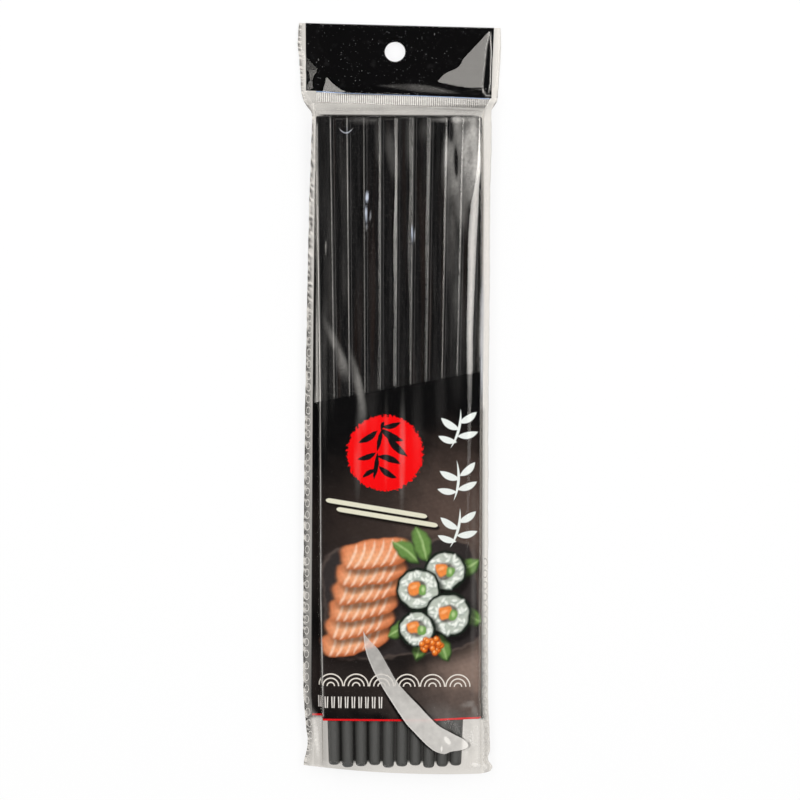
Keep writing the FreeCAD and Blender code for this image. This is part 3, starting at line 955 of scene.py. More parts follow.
def strip_finish():
    """Black plastic strip with faint dust."""
    material, tree, shader, points = new_finish("black header strip")
    dust = node(tree, "ShaderNodeTexVoronoi", {"Vector": points, "Scale": 1.3}).outputs
    size = axes(tree, dust["Color"])[0]
    near = calc(tree, "LESS_THAN", dust["Distance"], scaled(tree, size, 0.4, -0.16))
    near = times(tree, near, between(tree, noise(tree, points, 0.16, 2.0), 0.42, 0.6))
    haze = between(tree, noise(tree, points, 0.35, 3.0), 0.56, 0.85, 0.0, 0.06)
    colour = blend(tree, calc(tree, "MAXIMUM", near, haze), tone(5, 5, 6), tone(120, 120, 122))
    feed(tree, shader, {"Base Color": colour, "Roughness": 0.6, "Specular IOR Level": 0.05})
    return material


def turned(x, y, centre, turn, rough, seed):
    """Places seen from a motif's own centre and direction, a little uneven."""
    angle = math.radians(turn)
    cosine = math.cos(angle)
    sine = math.sin(angle)
    across = x - centre[0] + rough * wobble(x, y, 2.6, seed) + 0.5 * rough * wobble(x, y, 1.1, seed + 3.0)
    up = y - centre[1] + rough * wobble(y, x, 2.9, seed + 5.0) + 0.5 * rough * wobble(y, x, 1.2, seed + 9.0)
    return across * cosine + up * sine, up * cosine - across * sine


def spot(x, y, centre, half, edge=0.4, turn=0.0, rough=0.0, seed=0.0, power=2.0):
    """Mask of a soft oval; a higher power gives a rounded rectangle."""
    u, v = turned(x, y, centre, turn, rough, seed)
    reach = (np.abs(u / half[0]) ** power + np.abs(v / half[1]) ** power) ** (1.0 / power)
    return ease((1.0 + edge - reach) / (2.0 * edge))


def blade(x, y, centre, half, edge=0.3, turn=0.0, rough=0.0, seed=0.0, bow=0.0, fullness=3.0):
    """Mask of a soft long shape."""
    u, v = turned(x, y, centre, turn, rough, seed)
    along_it = np.abs(u / half[0])
    depth = 1.0 - along_it ** fullness - np.abs(v - bow * along_it ** 2) / half[1]
    return ease((depth + edge) / (2.0 * edge))


def beside(place, across, up):
    """A place a little way from another."""
    return (place[0] + across, place[1] + up)


def picture_colours(x, y):
    """Soft picture of rice rolls, sliced fish, leaves and roe on a slate, over a brown haze."""
    colour = np.tile(np.array(tone(6, 6, 7)[:3]), (len(x), 1))
    draw = np.random.default_rng(11)

    def lay(shade, strength, shape, centre, half, *rest, **more):
        """Lays one shape of colour, worked out only for the points near it."""
        within = more.pop("within", None)
        reach = 2.0 * max(half) + 2.5
        near = np.flatnonzero((np.abs(x - centre[0]) < reach) & (np.abs(y - centre[1]) < reach))
        mask = strength * shape(x[near], y[near], centre, half, *rest, **more)
        if within:
            mask = mask * spot(x[near], y[near], *within)
        colour[near] += (np.array(tone(*shade)[:3]) - colour[near]) * np.clip(mask, 0.0, 1.0)[:, None]

    for centre, half, shade, strength in (
        ((8.0, -52.0), (34.0, 26.0), (60, 50, 46), 0.85),
        ((22.0, -60.0), (17.0, 34.0), (96, 80, 73), 0.8),
        ((30.0, -98.0), (17.0, 17.0), (142, 122, 112), 0.85),
        ((-16.0, -102.0), (26.0, 12.0), (48, 41, 39), 0.7),
        ((20.0, -112.0), (22.0, 6.0), (84, 74, 70), 0.6),
    ):
        lay(shade, strength, spot, centre, half, 0.75, 0.0, 2.0, 1.0)

    # Slate with a worn pale rim.
    lay((26, 22, 21), 0.8, spot, (2.0, -75.6), (31.0, 23.4), 0.14, 6.0, power=4.0)
    lay((112, 98, 92), 0.55, spot, (2.0, -73.6), (28.8, 21.0), 0.03, 6.0, 0.7, 2.0, 6.0)
    lay((47, 42, 42), 1.0, spot, (2.0, -73.8), (28.2, 20.3), 0.03, 6.0, 0.7, 2.0, 6.0)
    lay((66, 60, 59), 0.5, spot, (-4.0, -66.0), (20.0, 12.0), 0.8, 6.0, 2.0, 7.0)

    # Fish in slices, each lying over the next.
    for number in range(6):
        place = (-14.8 + 1.4 * number, -88.5 + 6.3 * number)
        turn = 16.0 - 1.5 * number
        angle = math.radians(turn)
        for shade, strength, shift, half, *rest in (
            ((24, 16, 13), 0.7, (0.8, -1.5), (12.8, 5.6), 0.2, turn, 0.3, number, 3.4),
            ((186, 104, 64), 1.0, (0.0, 0.0), (12.4, 5.2), 0.06, turn, 0.35, number, 3.4),
            ((226, 146, 102), 1.0, (0.0, 0.5), (11.8, 4.4), 0.2, turn, 0.35, number, 3.4),
            ((240, 180, 138), 0.7, (-3.0, -1.4), (6.4, 2.4), 0.8, turn, 0.5, number),
        ):
            lay(shade, strength, spot, beside(place, *shift), half, *rest)
        slice_face = (place, (12.0, 4.9), 0.1, turn, 0.35, number, 3.4)
        for step in (-8.4, -5.0, -1.6, 1.8, 5.2, 8.4):
            centre = (place[0] + step * math.cos(angle), place[1] - 0.6 + step * math.sin(angle))
            lay((248, 214, 188), 0.75, blade, centre, (5.6, 0.5), 0.8, turn + 58.0, 0.2, number, 0.9, 5.0,
                within=slice_face)

    # Leaves behind the rolls.
    for centre, turn, size in (
        ((3.5, -55.5), 142.0, 1.0), ((9.5, -52.8), 108.0, 1.1), ((25.6, -62.0), 24.0, 1.0),
        ((27.0, -79.6), -30.0, 0.9), ((17.0, -90.5), -72.0, 1.0), ((9.0, -91.0), -110.0, 0.85),
        ((1.8, -84.5), -150.0, 0.9),
    ):
        half = (6.4 * size, 3.0 * size)
        inner = (half[0] * 0.94, half[1] * 0.9)
        vein = (half[0] * 0.9, 0.4)
        lay((42, 62, 32), 1.0, blade, beside(centre, 0.3, -0.6), half, 0.2, turn, 0.5, size, 0.4, 2.2)
        lay((104, 140, 74), 1.0, blade, centre, inner, 0.3, turn, 0.6, size, 0.4, 2.2)
        lay((164, 194, 128), 0.8, blade, centre, vein, 0.8, turn, 0.2, size, 0.3, 4.0)

    # Rice rolls: a dark wrap, grains of rice and a filling.
    for centre, size in (
        ((18.2, -63.2), 7.8), ((8.2, -70.0), 8.2), ((19.4, -79.2), 8.6), ((7.8, -84.6), 7.0),
    ):
        lay((12, 10, 10), 0.8, spot, beside(centre, 0.8, -1.6), (size + 0.8, size + 0.6), 0.12)
        lay((24, 34, 26), 1.0, spot, centre, (size, size * 0.96), 0.04, 0.0, 0.3, size)
        lay((186, 194, 184), 1.0, spot, centre, (size - 1.0, size * 0.96 - 1.0), 0.05, 0.0, 0.4, size)
        for _ in range(46):
            angle = draw.uniform(0.0, 2.0 * math.pi)
            reach = (size - 1.7) * math.sqrt(draw.uniform(0.14, 1.0))
            grain = beside(centre, reach * math.cos(angle), reach * math.sin(angle))
            turn = draw.uniform(0.0, 180.0)
            lay((150, 164, 156), 0.6, spot, beside(grain, 0.2, -0.35), (1.15, 0.6), 0.5, turn)
            lay((242, 246, 240), 0.9, spot, grain, (1.05, 0.5), 0.5, turn)
        fill = beside(centre, -0.2, 0.1)
        for shade, strength, shift, half, *rest in (
            ((60, 40, 26), 0.8, (0.0, 0.0), (3.7, 3.2), 0.16, 20.0, 0.4, size),
            ((236, 140, 70), 1.0, (-1.0, 0.3), (2.3, 2.2), 0.16, 15.0, 0.4, size, 4.0),
            ((250, 186, 128), 0.8, (-1.4, 0.8), (1.2, 0.6), 0.6, 25.0),
            ((116, 160, 84), 1.0, (1.9, -0.5), (1.5, 1.9), 0.2, -10.0, 0.4, size, 3.0),
            ((194, 218, 158), 0.8, (2.0, -0.2), (0.6, 1.0), 0.6),
        ):
            lay(shade, strength, spot, beside(fill, *shift), half, *rest)

    # Roe heaped between them.
    for _ in range(26):
        place = (13.4 + draw.normal(0.0, 2.0), -90.6 + draw.normal(0.0, 1.4))
        lay((168, 66, 20), 1.0, spot, place, (1.15, 1.15), 0.2)
        lay((240, 132, 48), 1.0, spot, beside(place, -0.1, 0.15), (0.85, 0.85), 0.35)
        lay((255, 220, 160), 0.8, spot, beside(place, -0.35, 0.4), (0.3, 0.3), 0.6)
    speckle = 1.0 + 0.07 * wobble(x, y, 0.55, 3.0) + 0.05 * wobble(y, x, 0.8, 7.0)
    return np.clip(colour * speckle[:, None], 0.0, 1.0)


def print_finish():
    """Printed panel: the soft picture, a red sun, white leaf sprigs and fine line work."""
    material, tree, shader, points = new_finish("printed panel")
    spot_motif = spot_group()
    blade_motif = blade_group()
    x, y = axes(tree, points)
    colour = node(tree, "ShaderNodeAttribute", {}, attribute_name="picture").outputs["Color"]

    def motif(group, centre, half, turn=0.0, edge=0.1, rough=0.0, grain=0.3, **more):
        """Mask of one motif, placed and sized in millimetres."""
        inputs = {"Vector": points, "Centre": (*centre, 0.0), "Half Size": (*half, 1.0)}
        inputs |= {"Turn": math.radians(turn), "Edge": edge, "Rough": rough, "Grain": grain}
        inputs |= {key.title(): value for key, value in more.items()}
        return node(tree, "ShaderNodeGroup", inputs, node_tree=group).outputs["Mask"]

    # Red sun with a black bamboo sprig.
    sun = motif(spot_motif, (-4.4, -19.8), (14.0, 14.0), edge=0.014, rough=3.0, grain=1.15)
    colour = blend(tree, sun, colour, tone(240, 8, 13))
    ink = tone(18, 16, 18)
    for centre, half, turn, bow in (
        ((-7.6, -24.6), (5.0, 0.85), 82.0, 0.2), ((-6.4, -15.0), (4.2, 0.8), 78.0, 0.0),
        ((-5.4, -9.6), (1.6, 0.65), 74.0, 0.0), ((-2.2, -13.6), (4.8, 1.35), -28.0, 0.7),
        ((-0.4, -17.4), (5.6, 1.3), -46.0, 0.7), ((-10.4, -14.2), (4.2, 1.15), 32.0, 0.6),
        ((-2.8, -21.8), (4.6, 1.2), -18.0, -0.6), ((-11.0, -21.4), (3.6, 1.0), 20.0, 0.5),
        ((-2.0, -9.8), (3.6, 1.0), 14.0, 0.5), ((-10.2, -27.0), (3.0, 0.9), -150.0, 0.4),
        ((-3.6, -27.2), (4.0, 1.1), -34.0, 0.5),
    ):
        mask = motif(blade_motif, centre, half, turn, 0.12, 0.5, 0.8, bow=bow, fullness=2.2)
        colour = blend(tree, mask, colour, ink)

    # A pair of pale sticks laid above the food.
    for shift in (0.0, 3.3):
        place = (-7.4 + 1.2 * shift, -40.2 - shift)
        mask = motif(blade_motif, beside(place, 0.5, -0.9), (19.2, 1.1), -9.0, 0.6, fullness=30.0)
        colour = blend(tree, mask, colour, tone(24, 19, 17))
        mask = motif(blade_motif, place, (19.0, 0.85), -9.0, 0.22, fullness=40.0)
        colour = blend(tree, mask, colour, tone(224, 222, 202))

    # White leaf sprigs down the right side.
    white = tone(232, 238, 236)
    for top, tilt in ((-3.5, 0.0), (-22.5, 10.0), (-40.2, 0.0)):
        for centre, half, turn, bow in (
            ((22.8, -7.4), (7.4, 0.5), 76.0, 1.2), ((26.4, -3.4), (3.8, 1.3), 32.0, 0.5),
            ((19.4, -5.8), (4.0, 1.3), 148.0, -0.5), ((26.2, -9.6), (3.9, 1.25), 12.0, 0.5),
            ((18.6, -11.4), (3.6, 1.15), 162.0, -0.4),
        ):
            place = beside(centre, 0.0, top)
            mask = motif(blade_motif, place, half, turn + tilt, 0.14, bow=bow, fullness=2.2)
            colour = blend(tree, mask, colour, white)

    # Row of fine scallops.
    pitch = 9.4
    local = minus(tree, calc(tree, "MODULO", plus(tree, x, 28.6), pitch), pitch / 2)
    high = plus(tree, y, 106.0)
    reach = calc(tree, "SQRT", plus(tree, times(tree, local, local), times(tree, high, high)))
    rings = None
    for radius in (4.45, 2.9, 1.35):
        ring = between(tree, distance(tree, reach, radius), 0.3, 0.16)
        rings = ring if rings is None else calc(tree, "MAXIMUM", rings, ring)
    rings = times(tree, rings, between(tree, high, -0.1, 0.1))
    rings = times(tree, rings, between(tree, distance(tree, x, -0.4), 28.2, 28.0))
    colour = blend(tree, rings, colour, tone(228, 222, 214))

    # Ten small pairs of strokes, leaning apart towards their tops.
    pitch = 2.5
    row_y = -112.0
    local = calc(tree, "MODULO", plus(tree, x, 29.0), pitch)
    pair = distance(tree, local, pitch * 0.4)
    gap = scaled(tree, minus(tree, y, row_y), 0.03, 0.42)
    line = between(tree, distance(tree, pair, gap), 0.26, 0.16)
    tall = between(tree, distance(tree, y, row_y), 2.2, 2.0)
    wide = between(tree, distance(tree, x, -16.5), 12.5, 12.4)
    line = times(tree, line, times(tree, tall, wide))
    colour = blend(tree, line, colour, tone(226, 222, 218))

    # Red line along the bottom of the panel, where the print ends: it steps at the bag's left fold and
    # climbs towards the right.
    step = times(tree, between(tree, x, -26.7, -27.1), 1.4)
    level = minus(tree, minus(tree, y, step), RED_LINE_Y)
    level = minus(tree, level, between(tree, x, 6.0, 34.0))
    red = between(tree, calc(tree, "ABSOLUTE", level), RED_LINE_HALF, RED_LINE_CORE)
    colour = blend(tree, red, colour, tone(214, 22, 28))
    feed(tree, shader, {"Base Color": colour, "Roughness": 0.6, "Specular IOR Level": 0.03})
    clear = tree.nodes.new("ShaderNodeBsdfTransparent")
    kept = between(tree, level, -RED_LINE_HALF, -RED_LINE_CORE)
    mixed = node(tree, "ShaderNodeMixShader", {0: kept, 1: clear.outputs[0], 2: shader.outputs[0]})
    show(tree, mixed)
    return material


# --- the pieces -----------------------------------------------------------------------------------

# Stations across a zone of the upper film, as shares of the zone's width, or their number.
SEAM_COLUMNS = 5
SIDE_COLUMNS = 14
WALL_STATIONS = (0.0, 0.15, 0.35, 0.55, 0.7, 0.78, 0.84, 0.9, 0.94, 0.97)
FOLD_STATIONS = (0.0, 0.05, 0.12, 0.3, 0.6)
STICK_STATIONS = (
    0.0, 0.02, 0.045, 0.085, 0.15, 0.23, 0.31, 0.39, 0.47, 0.55, 0.62, 0.69, 0.76, 0.83, 0.89, 0.93,
    0.957, 0.98,
)


def across_front():
    """Stations across the upper film: the zone between two lines of the bag, and the share of it."""
    seam = np.linspace(0.0, 1.0, SEAM_COLUMNS, endpoint=False)
    side = np.linspace(0.0, 1.0, SIDE_COLUMNS, endpoint=False)
    rows = [(0, t) for t in seam]
    rows += [(1, t) for t in WALL_STATIONS]
    rows += [(2, t) for t in FOLD_STATIONS]
    for low, high in zip(GAP_SHARES, GAP_SHARES[1:]):
        rows += [(3, low + (high - low) * t) for t in STICK_STATIONS]
    rows += [(4, t) for t in side]
    rows += [(5, t) for t in seam]
    rows.append((5, 1.0))
    return rows


def across_back():
    """The same across the lower film, from right to left."""
    rows = [(5, 0.5)] + [(4, t) for t in (0.98, 0.9, 0.75, 0.4)]
    rows += [(3, t) for t in np.linspace(1.0, 0.0, 21)]
    rows += [(2, 0.3)]
    rows += [(1, t) for t in (0.85, 0.5, 0.38, 0.2, 0.1, 0.03)]
    return rows + [(0, 0.5), (0, 0.0)]


def along(fine=False):
    """Stations up the pack, closer together for the printed panel."""
    if fine:
        return np.linspace(*FINE_ROWS)
    rows = [y for run in ROW_RUNS for y in np.linspace(*run, endpoint=False)]
    return np.array(rows + [TOP_Y - 0.08, TOP_Y])


def place_across(zones, shares, y):
    """Place across the pack of a station, at each height."""
    half = stack_half(y)
    lines = np.stack([
        track(y, LEFT_EDGE) + 0.1 * wobble(y, y * 0.0, 1.9, 6.0), track(y, LEFT_ROOT), track(y, LEFT_FOLD),
        -half, half, track(y, RIGHT_ROOT), track(y, RIGHT_EDGE) + 0.1 * wobble(y, y * 0.0, 2.3, 7.0),
    ])
    picks = np.arange(len(y))
    low = lines[zones, picks]
    high = lines[zones + 1, picks]
    return low + (high - low) * shares


def upper_points(x, level):
    """Bends the rows to the bottom fold and to the sloping top edge."""
    down = (bottom_line(x) - LOWEST_ROW) * (1.0 - ease((level - LOWEST_ROW) / 14.0))
    up = (TOP_LINE - TOP_SLOPE * x - TOP_Y) * ease((level - SHOULDER_Y) / 35.0)
    return level + down + up


def header_share(y):
    """How far a film has come over to the header, from 0 to 1."""
    return ease((y - WELD_Y + 0.4) / 0.8)


def upper_surface(x, y):
    """Outside of the upper film, over the sticks, the shoulder and the header."""
    z = film_height(x, y)
    z = z + (header_height(x, y) - z) * header_share(y)
    return z + FILM_LIFT + HEADER_LIFT * ease((y - 109.6) / 1.4)


def lower_surface(x, y):
    """Outside of the lower film."""
    z = floor_film_height(x, y)
    z = z + (header_height(x, y) - z) * header_share(y)
    return z - HEADER_DROP * header_share(y)


def seam_middle(x, y):
    """Height of the bag's edges, half way between the films."""
    return np.where(y > WELD_Y, header_height(x, y), stack_top(y) / 2)


def sheet_places(stations, column, level):
    """Plan places of a grid's points."""
    zones = np.array([zone for zone, share in stations])[column]
    shares = np.array([share for zone, share in stations])[column]
    x = place_across(zones, shares, level)
    return x, upper_points(x, level)


def upper_sheet(name, drop, cuts, fine=False):
    """A part of the upper film, lowered by drop and trimmed along straight cuts."""
    stations = across_front()
    levels = along(fine)
    obj, column, row = add_grid(name, len(stations) - 1, len(levels) - 1)
    x, y = sheet_places(stations, column, levels[row])
    put(obj, np.stack([x, y, upper_surface(x, y) - drop], axis=1))

    def trim():
        for point, normal in cuts:
            bpy.ops.mesh.select_all(action="SELECT")
            bpy.ops.mesh.bisect(plane_co=[c * MM for c in point], plane_no=normal, clear_outer=True)

    in_edit_mode(obj, trim)
    return obj


def punch_hole(obj):
    """Cuts the round hang hole through the header."""
    mount = next(m for m in frame["record"]["mounts"] if m["name"] == "hang_hole")
    lean = -math.asin(mount["axis"][1])
    bpy.ops.object.select_all(action="DESELECT")
    bpy.ops.mesh.primitive_cylinder_add(
        vertices=72, radius=mount["dims"]["r_mm"] * MM, depth=PUNCH_DEPTH * MM, location=mount["pos_m"],
        rotation=(lean, 0.0, 0.0),
    )
    tool = add_object("hole tool")
    apply_modifier(obj, "BOOLEAN", operation="DIFFERENCE", object=tool, solver="EXACT")
    bpy.data.objects.remove(tool)


class PackSizes(bpy.types.PropertyGroup):
    """Sizes that a maker would change."""

    rib_pitch: FloatProperty(
        name="Rib pitch", description="Distance between weld ribs",
        default=0.7 * MM, subtype="DISTANCE", unit="LENGTH",
    )
    rib_height: FloatProperty(
        name="Rib height", description="Height of a weld rib",
        default=0.19 * MM, subtype="DISTANCE", unit="LENGTH",
    )
    ring_pitch: FloatProperty(
        name="Ring pitch", description="Distance between pressed rings on a side seam",
        default=4.3 * MM, subtype="DISTANCE", unit="LENGTH",
    )
    ring_radius: FloatProperty(
        name="Ring radius", description="Radius of a pressed ring",
        default=0.8 * MM, subtype="DISTANCE", unit="LENGTH",
    )
    strip_thickness: FloatProperty(
        name="Strip thickness", description="Thickness of the black header strip",
        default=0.1 * MM, subtype="DISTANCE", unit="LENGTH",
    )
    film_gloss: FloatProperty(
        name="Film gloss", description="Share of light the film mirrors straight on",
        default=GLOSS, min=0.0, max=1.0, subtype="FACTOR",
    )


class PackColours(bpy.types.PropertyGroup):
    """Colours that a maker would change."""

    upper_film: FloatVectorProperty(
        name="Upper film", description="Tint of the upper film",
        size=4, default=(0.97, 0.962, 0.95, 1.0), subtype="COLOR", min=0.0, max=1.0,
    )
    lower_film: FloatVectorProperty(
        name="Lower film", description="Tint of the lower film",
        size=4, default=(0.955, 0.925, 0.88, 1.0), subtype="COLOR", min=0.0, max=1.0,
    )


class PACK_OT_film(bpy.types.Operator):
    """Makes the clear film bag, from its fold to the header's free edge"""

    bl_idname = "pack.film"
    bl_label = "Film bag"

    def execute(self, context):
        sizes = context.scene.pack_sizes
        colours = context.scene.pack_colours
        front = across_front()
        stations = front + across_back()
        obj, column, row = add_grid("film_envelope", len(stations) - 1, len(along()) - 1)
        x, y = sheet_places(stations, column, along()[row])
        last = len(front) - 1
        edge = (column == 0) | (column == last) | (column == len(stations) - 1)
        z = np.where(column <= last, upper_surface(x, y), lower_surface(x, y))
        middle = seam_middle(x, y)
        closed = (row == 0) | (row == row.max())
        z = np.where(closed, middle + np.where(column <= last, CLOSED_HALF, -CLOSED_HALF), z)
        z = np.where(edge, middle, z)
        put(obj, np.stack([x, y, z], axis=1))
        # Painted highlights go into the films' cloudiness, and painted shade darkens what is seen through
        # the lower film.
        paint_value(obj, "haze_and_highlight", haze_and_highlight_level(x, y) * np.where(column <= last, 1.0, 0.3))
        paint_value(obj, "shade", underside_shade(x, y) * np.where(column > last, 1.0, 0.0))
        paint_value(obj, "shine", shininess(x, y))
        paint_value(obj, "cool", coolness(x, y) * np.where(column <= last, 1.0, 0.0))
        clear = film_finish("clear film", colours.upper_film, sizes.film_gloss, 0.05, creased=True)
        under = film_finish("clear film underneath", colours.lower_film, sizes.film_gloss, 0.09)
        finish_piece(obj, "root", "clear_film", clear, under)
        corners = np.empty(len(obj.data.polygons) * 4, dtype=np.int32)
        obj.data.polygons.foreach_get("vertices", corners)
        lowest_column = column[corners.reshape(-1, 4)].min(axis=1)
        obj.data.polygons.foreach_set("material_index", (lowest_column >= last).astype(np.int32))

        def close():
            bpy.ops.mesh.remove_doubles(threshold=0.00001)
            bpy.ops.mesh.select_all(action="DESELECT")
            bpy.ops.mesh.select_non_manifold(extend=False, use_wire=False, use_multi_face=False,
                                             use_non_contiguous=False, use_verts=False)
            bpy.ops.mesh.fill(use_beauty=False)

        in_edit_mode(obj, close)
        punch_hole(obj)
        smooth(obj)
        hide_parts("film_bag")
        return {"FINISHED"}


class PACK_OT_strip(bpy.types.Operator):
    """Makes the black strip sealed into the header"""

    bl_idname = "pack.strip"
    bl_label = "Header strip"

    def execute(self, context):
        obj = upper_sheet("black_header_strip", STRIP_DEPTH, STRIP_CUTS)
        apply_modifier(obj, "SOLIDIFY", thickness=context.scene.pack_sizes.strip_thickness, offset=-1.0)
        punch_hole(obj)
        only(obj)
        bpy.ops.object.shade_smooth_by_angle(angle=math.radians(40.0))
        finish_piece(obj, "root", "black_film", strip_finish())
        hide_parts("header_strip")
        return {"FINISHED"}


class PACK_OT_print(bpy.types.Operator):
    """Makes the printed panel on the inside of the upper film"""

    bl_idname = "pack.printing"
    bl_label = "Printed panel"

    def execute(self, context):
        obj = upper_sheet("printed_panel", PRINT_DEPTH, PRINT_CUTS, fine=True)
        points = places(obj)
        colours = obj.data.attributes.new("picture", "FLOAT_COLOR", "POINT")
        shades = np.ones((len(points), 4), dtype=np.float32)
        shades[:, :3] = picture_colours(points[:, 0], points[:, 1])
        colours.data.foreach_set("color", shades.ravel())
        smooth(obj)
        finish_piece(obj, "root", "black_film", print_finish())
        return {"FINISHED"}


class PACK_OT_weld(bpy.types.Operator):
    """Makes the ribbed weld under the header"""

    bl_idname = "pack.weld"
    bl_label = "Ribbed weld"

    def execute(self, context):
        sizes = context.scene.pack_sizes
        colours = context.scene.pack_colours
        ribs = int((WELD_RIGHT - WELD_LEFT) / (sizes.rib_pitch / MM))
        obj, column, row = add_grid("weld_ribs", ribs * RIB_COLUMNS, RIB_ROWS)
        up = row / RIB_ROWS
        x = WELD_LEFT + (WELD_RIGHT - WELD_LEFT) * column / (ribs * RIB_COLUMNS)
        x = np.minimum(x, 31.6 + 2.3 * up)
        low_y = WELD_LOW_Y + WELD_SLOPE * (x - WELD_LEFT)
        high_y = STRIP_CORNER[1] - 0.05 + STRIP_SLOPE * (x - STRIP_CORNER[0])
        y = low_y + (high_y - low_y) * up

        # Ribs that fade towards the right, and a raised bead along the upper edge.
        wave = 0.5 - 0.5 * np.cos(column * 2.0 * math.pi / RIB_COLUMNS)
        ends = np.clip(np.minimum(up, 0.9 - up) * 10.0, 0.0, 1.0)
        bead = bell(up - WELD_BEAD, 0.05)
        fade = 1.0 - 0.65 * ease((x - 3.0) / 25.0)
        rise = sizes.rib_height / MM * wave * ends * fade + 0.2 * bead
        put(obj, np.stack([x, y, upper_surface(x, y) + 0.05 + rise], axis=1))
        # Painted shade in the valleys between the ribs; the see-through is darker towards the right.
        valley_shade = 0.72 * (1.0 - wave) ** 1.5 * ends * fade
        # Pale rib crests, partly the weld's own cloudiness and partly painted highlight; a bluish painted
        # highlight on the bead.
        paint_value(obj, "haze_and_highlight", 0.03 + 0.97 * wave ** 0.5 * ends * fade + 0.8 * bead)
        paint_value(obj, "shade", valley_shade + 0.34 * ease((x - 5.0) / 20.0) * ends)
        paint_value(obj, "cool", bead)
        apply_modifier(obj, "SOLIDIFY", thickness=0.04 * MM, offset=-1.0)
        smooth(obj)
        finish = film_finish("ribbed weld", colours.upper_film, sizes.film_gloss, 0.12)
        finish_piece(obj, "root", "clear_film", finish)
        return {"FINISHED"}


class PACK_OT_seams(bpy.types.Operator):
    """Makes the rings pressed into the two side seams"""

    bl_idname = "pack.seams"
    bl_label = "Pressed seam rings"

    def execute(self, context):
        sizes = context.scene.pack_sizes
        colours = context.scene.pack_colours
        finish = film_finish("pressed rings", colours.upper_film, sizes.film_gloss, 0.15, 0.2)
        for side, edge, root, top, haze_and_highlight in RING_SIDES:
            count = int((top - FOLD_Y - RING_START) / (sizes.ring_pitch / MM))
            bpy.ops.object.select_all(action="DESELECT")
            bpy.ops.mesh.primitive_torus_add(
                major_segments=14, minor_segments=5, minor_radius=RING_THICKNESS * MM,
                major_radius=sizes.ring_radius,
            )
            obj = add_object("seam_rings_" + side)
            put(obj, places(obj) * RING_STRETCH)
            apply_modifier(obj, "ARRAY", count=count, use_relative_offset=False, use_constant_offset=True,
                           constant_offset_displace=(0.0, sizes.ring_pitch, 0.0))
            points = places(obj)
            points[:, 1] += FOLD_Y + RING_START
            y = points[:, 1]
            centre = (track(y, edge) + track(y, root)) / 2
            points[:, 0] += centre
            points[:, 2] += upper_surface(centre, y)
            put(obj, points)
            paint_value(obj, "haze_and_highlight", np.full(len(y), haze_and_highlight))
            smooth(obj)
            finish_piece(obj, "root", "clear_film", finish)
        return {"FINISHED"}


class PACK_OT_sticks(bpy.types.Operator):
    """Gives the twenty chopsticks their satin black finish"""

    bl_idname = "pack.sticks"
    bl_label = "Chopsticks"

    def execute(self, context):
        finish = stick_finish()
        for name in STICKS:
            stick = frame["nodes"][name]
            stick.data.materials.clear()
            stick.data.materials.append(finish)
        return {"FINISHED"}


def plain_finish(name, colour):
    """One even matt colour, for the stage."""
    material = bpy.data.materials.new(name)
    material.use_nodes = True
    tree = material.node_tree
    inputs = {"Base Color": colour, "Roughness": 1.0, "Specular IOR Level": 0.0}
    feed(tree, tree.nodes["Principled BSDF"], inputs)
    return material


def floor_finish():
    """White table that reads as plain white to the camera and still takes a shadow."""
    material = plain_finish("white table", (0.9, 0.9, 0.9, 1.0))
    tree = material.node_tree
    shader = tree.nodes["Principled BSDF"]
    seen = tree.nodes.new("ShaderNodeLightPath").outputs["Is Camera Ray"]
    glow = node(tree, "ShaderNodeEmission", {"Color": WHITE, "Strength": 1.0})
    share = times(tree, seen, 0.8)
    mixed = node(tree, "ShaderNodeMixShader", {0: share, 1: shader.outputs[0], 2: glow.outputs[0]})
    show(tree, mixed)
    return material


def add_lamp(name, place, size, radiance):
    """A soft box of the given size and brightness, facing down."""
    data = bpy.data.lights.new(name, "AREA")
    data.shape = "RECTANGLE"
    data.size, data.size_y = size
    data.energy = radiance * math.pi * size[0] * size[1]
    lamp = bpy.data.objects.new(name, data)
    lamp.location = place
    lamp.visible_camera = False
    bpy.context.scene.collection.objects.link(lamp)


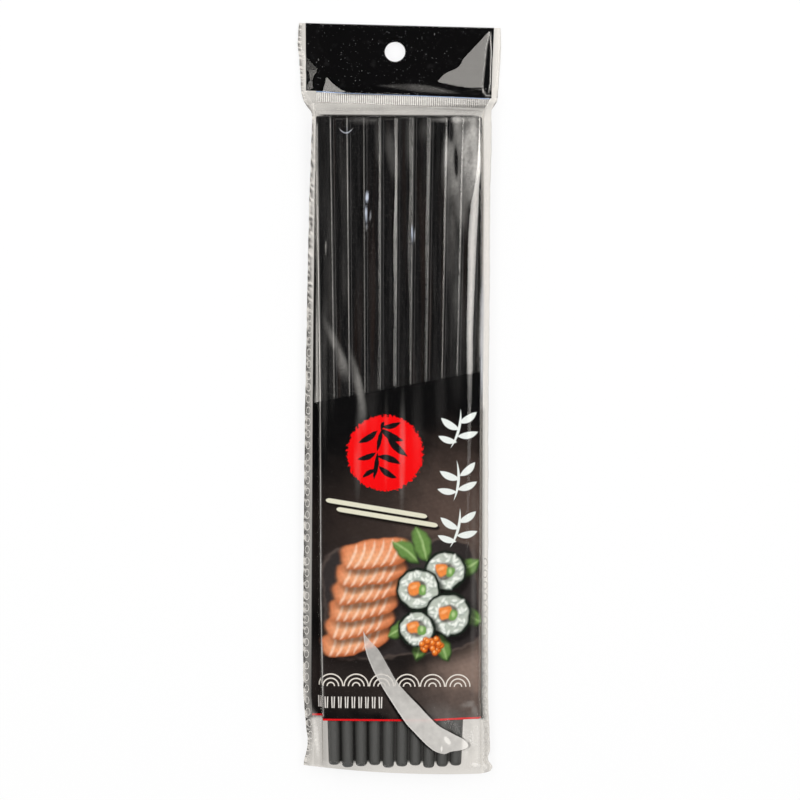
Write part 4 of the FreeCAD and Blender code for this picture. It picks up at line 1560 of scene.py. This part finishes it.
class PACK_OT_stage(bpy.types.Operator):
    """Sets the table, the soft boxes, the white surroundings and the camera"""

    bl_idname = "pack.stage"
    bl_label = "Stage"

    def execute(self, context):
        scene = context.scene
        bpy.ops.object.select_all(action="DESELECT")
        bpy.ops.mesh.primitive_plane_add(size=TABLE_SIZE)
        floor = add_object("table")
        floor.data.materials.append(floor_finish())
        above = (0.0, 0.0, CARD_HEIGHT)
        bpy.ops.mesh.primitive_plane_add(size=CARD_SIZE, location=above, rotation=(math.pi, 0.0, 0.0))
        card = add_object("dark_card")
        card.data.materials.append(plain_finish("dark card", BLACK))
        for flag in ("camera", "diffuse", "transmission", "shadow", "volume_scatter"):
            setattr(card, "visible_" + flag, False)
        for lamp in LAMPS:
            add_lamp(*lamp)

        world = bpy.data.worlds.new("white surroundings")
        scene.world = world
        world.use_nodes = True
        tree = world.node_tree
        paths = tree.nodes.new("ShaderNodeLightPath").outputs
        seen = calc(tree, "MAXIMUM", paths["Is Glossy Ray"], paths["Is Transmission Ray"])
        seen = calc(tree, "MAXIMUM", paths["Is Camera Ray"], seen)
        strength = scaled(tree, seen, 0.65, 0.35)
        feed(tree, tree.nodes["Background"], {"Color": WHITE, "Strength": strength})

        data = bpy.data.cameras.new("camera")
        camera = bpy.data.objects.new("camera", data)
        data.sensor_width = SENSOR_WIDTH
        data.lens = SENSOR_WIDTH * CAMERA_DISTANCE / VIEW_WIDTH
        camera.location = (*CAMERA_PLACE, CAMERA_DISTANCE + PACK_MIDDLE)
        camera.rotation_euler = (0.0, 0.0, CAMERA_TURN)
        scene.collection.objects.link(camera)
        scene.camera = camera
        scene.view_settings.view_transform = "Standard"
        return {"FINISHED"}


PIECES = {
    "pack.film": PACK_OT_film, "pack.strip": PACK_OT_strip, "pack.printing": PACK_OT_print,
    "pack.weld": PACK_OT_weld, "pack.seams": PACK_OT_seams, "pack.sticks": PACK_OT_sticks,
    "pack.stage": PACK_OT_stage,
}


class PACK_PT_panel(bpy.types.Panel):
    """Lists the sizes, the colours and the pieces"""

    bl_idname = "PACK_PT_panel"
    bl_label = "Chopstick Pack"
    bl_space_type = "VIEW_3D"
    bl_region_type = "UI"
    bl_category = "Chopstick Pack"

    def draw(self, context):
        for group in (context.scene.pack_sizes, context.scene.pack_colours):
            for key in group.__annotations__:
                self.layout.prop(group, key)
        for idname in PIECES:
            self.layout.operator(idname)


CLASSES = (PackSizes, PackColours, *PIECES.values(), PACK_PT_panel)


def register():
    """Makes the pieces, sizes and colours known to the program."""
    for item in CLASSES:
        bpy.utils.register_class(item)
    bpy.types.Scene.pack_sizes = PointerProperty(type=PackSizes)
    bpy.types.Scene.pack_colours = PointerProperty(type=PackColours)


def unregister():
    """Takes them away again."""
    del bpy.types.Scene.pack_colours
    del bpy.types.Scene.pack_sizes
    for item in reversed(CLASSES):
        bpy.utils.unregister_class(item)


def main():
    """Builds the whole pack."""
    register()
    for idname in PIECES:
        name = idname.removeprefix("pack.")
        getattr(bpy.ops.pack, name)()


if __name__ == "__main__":
    main()
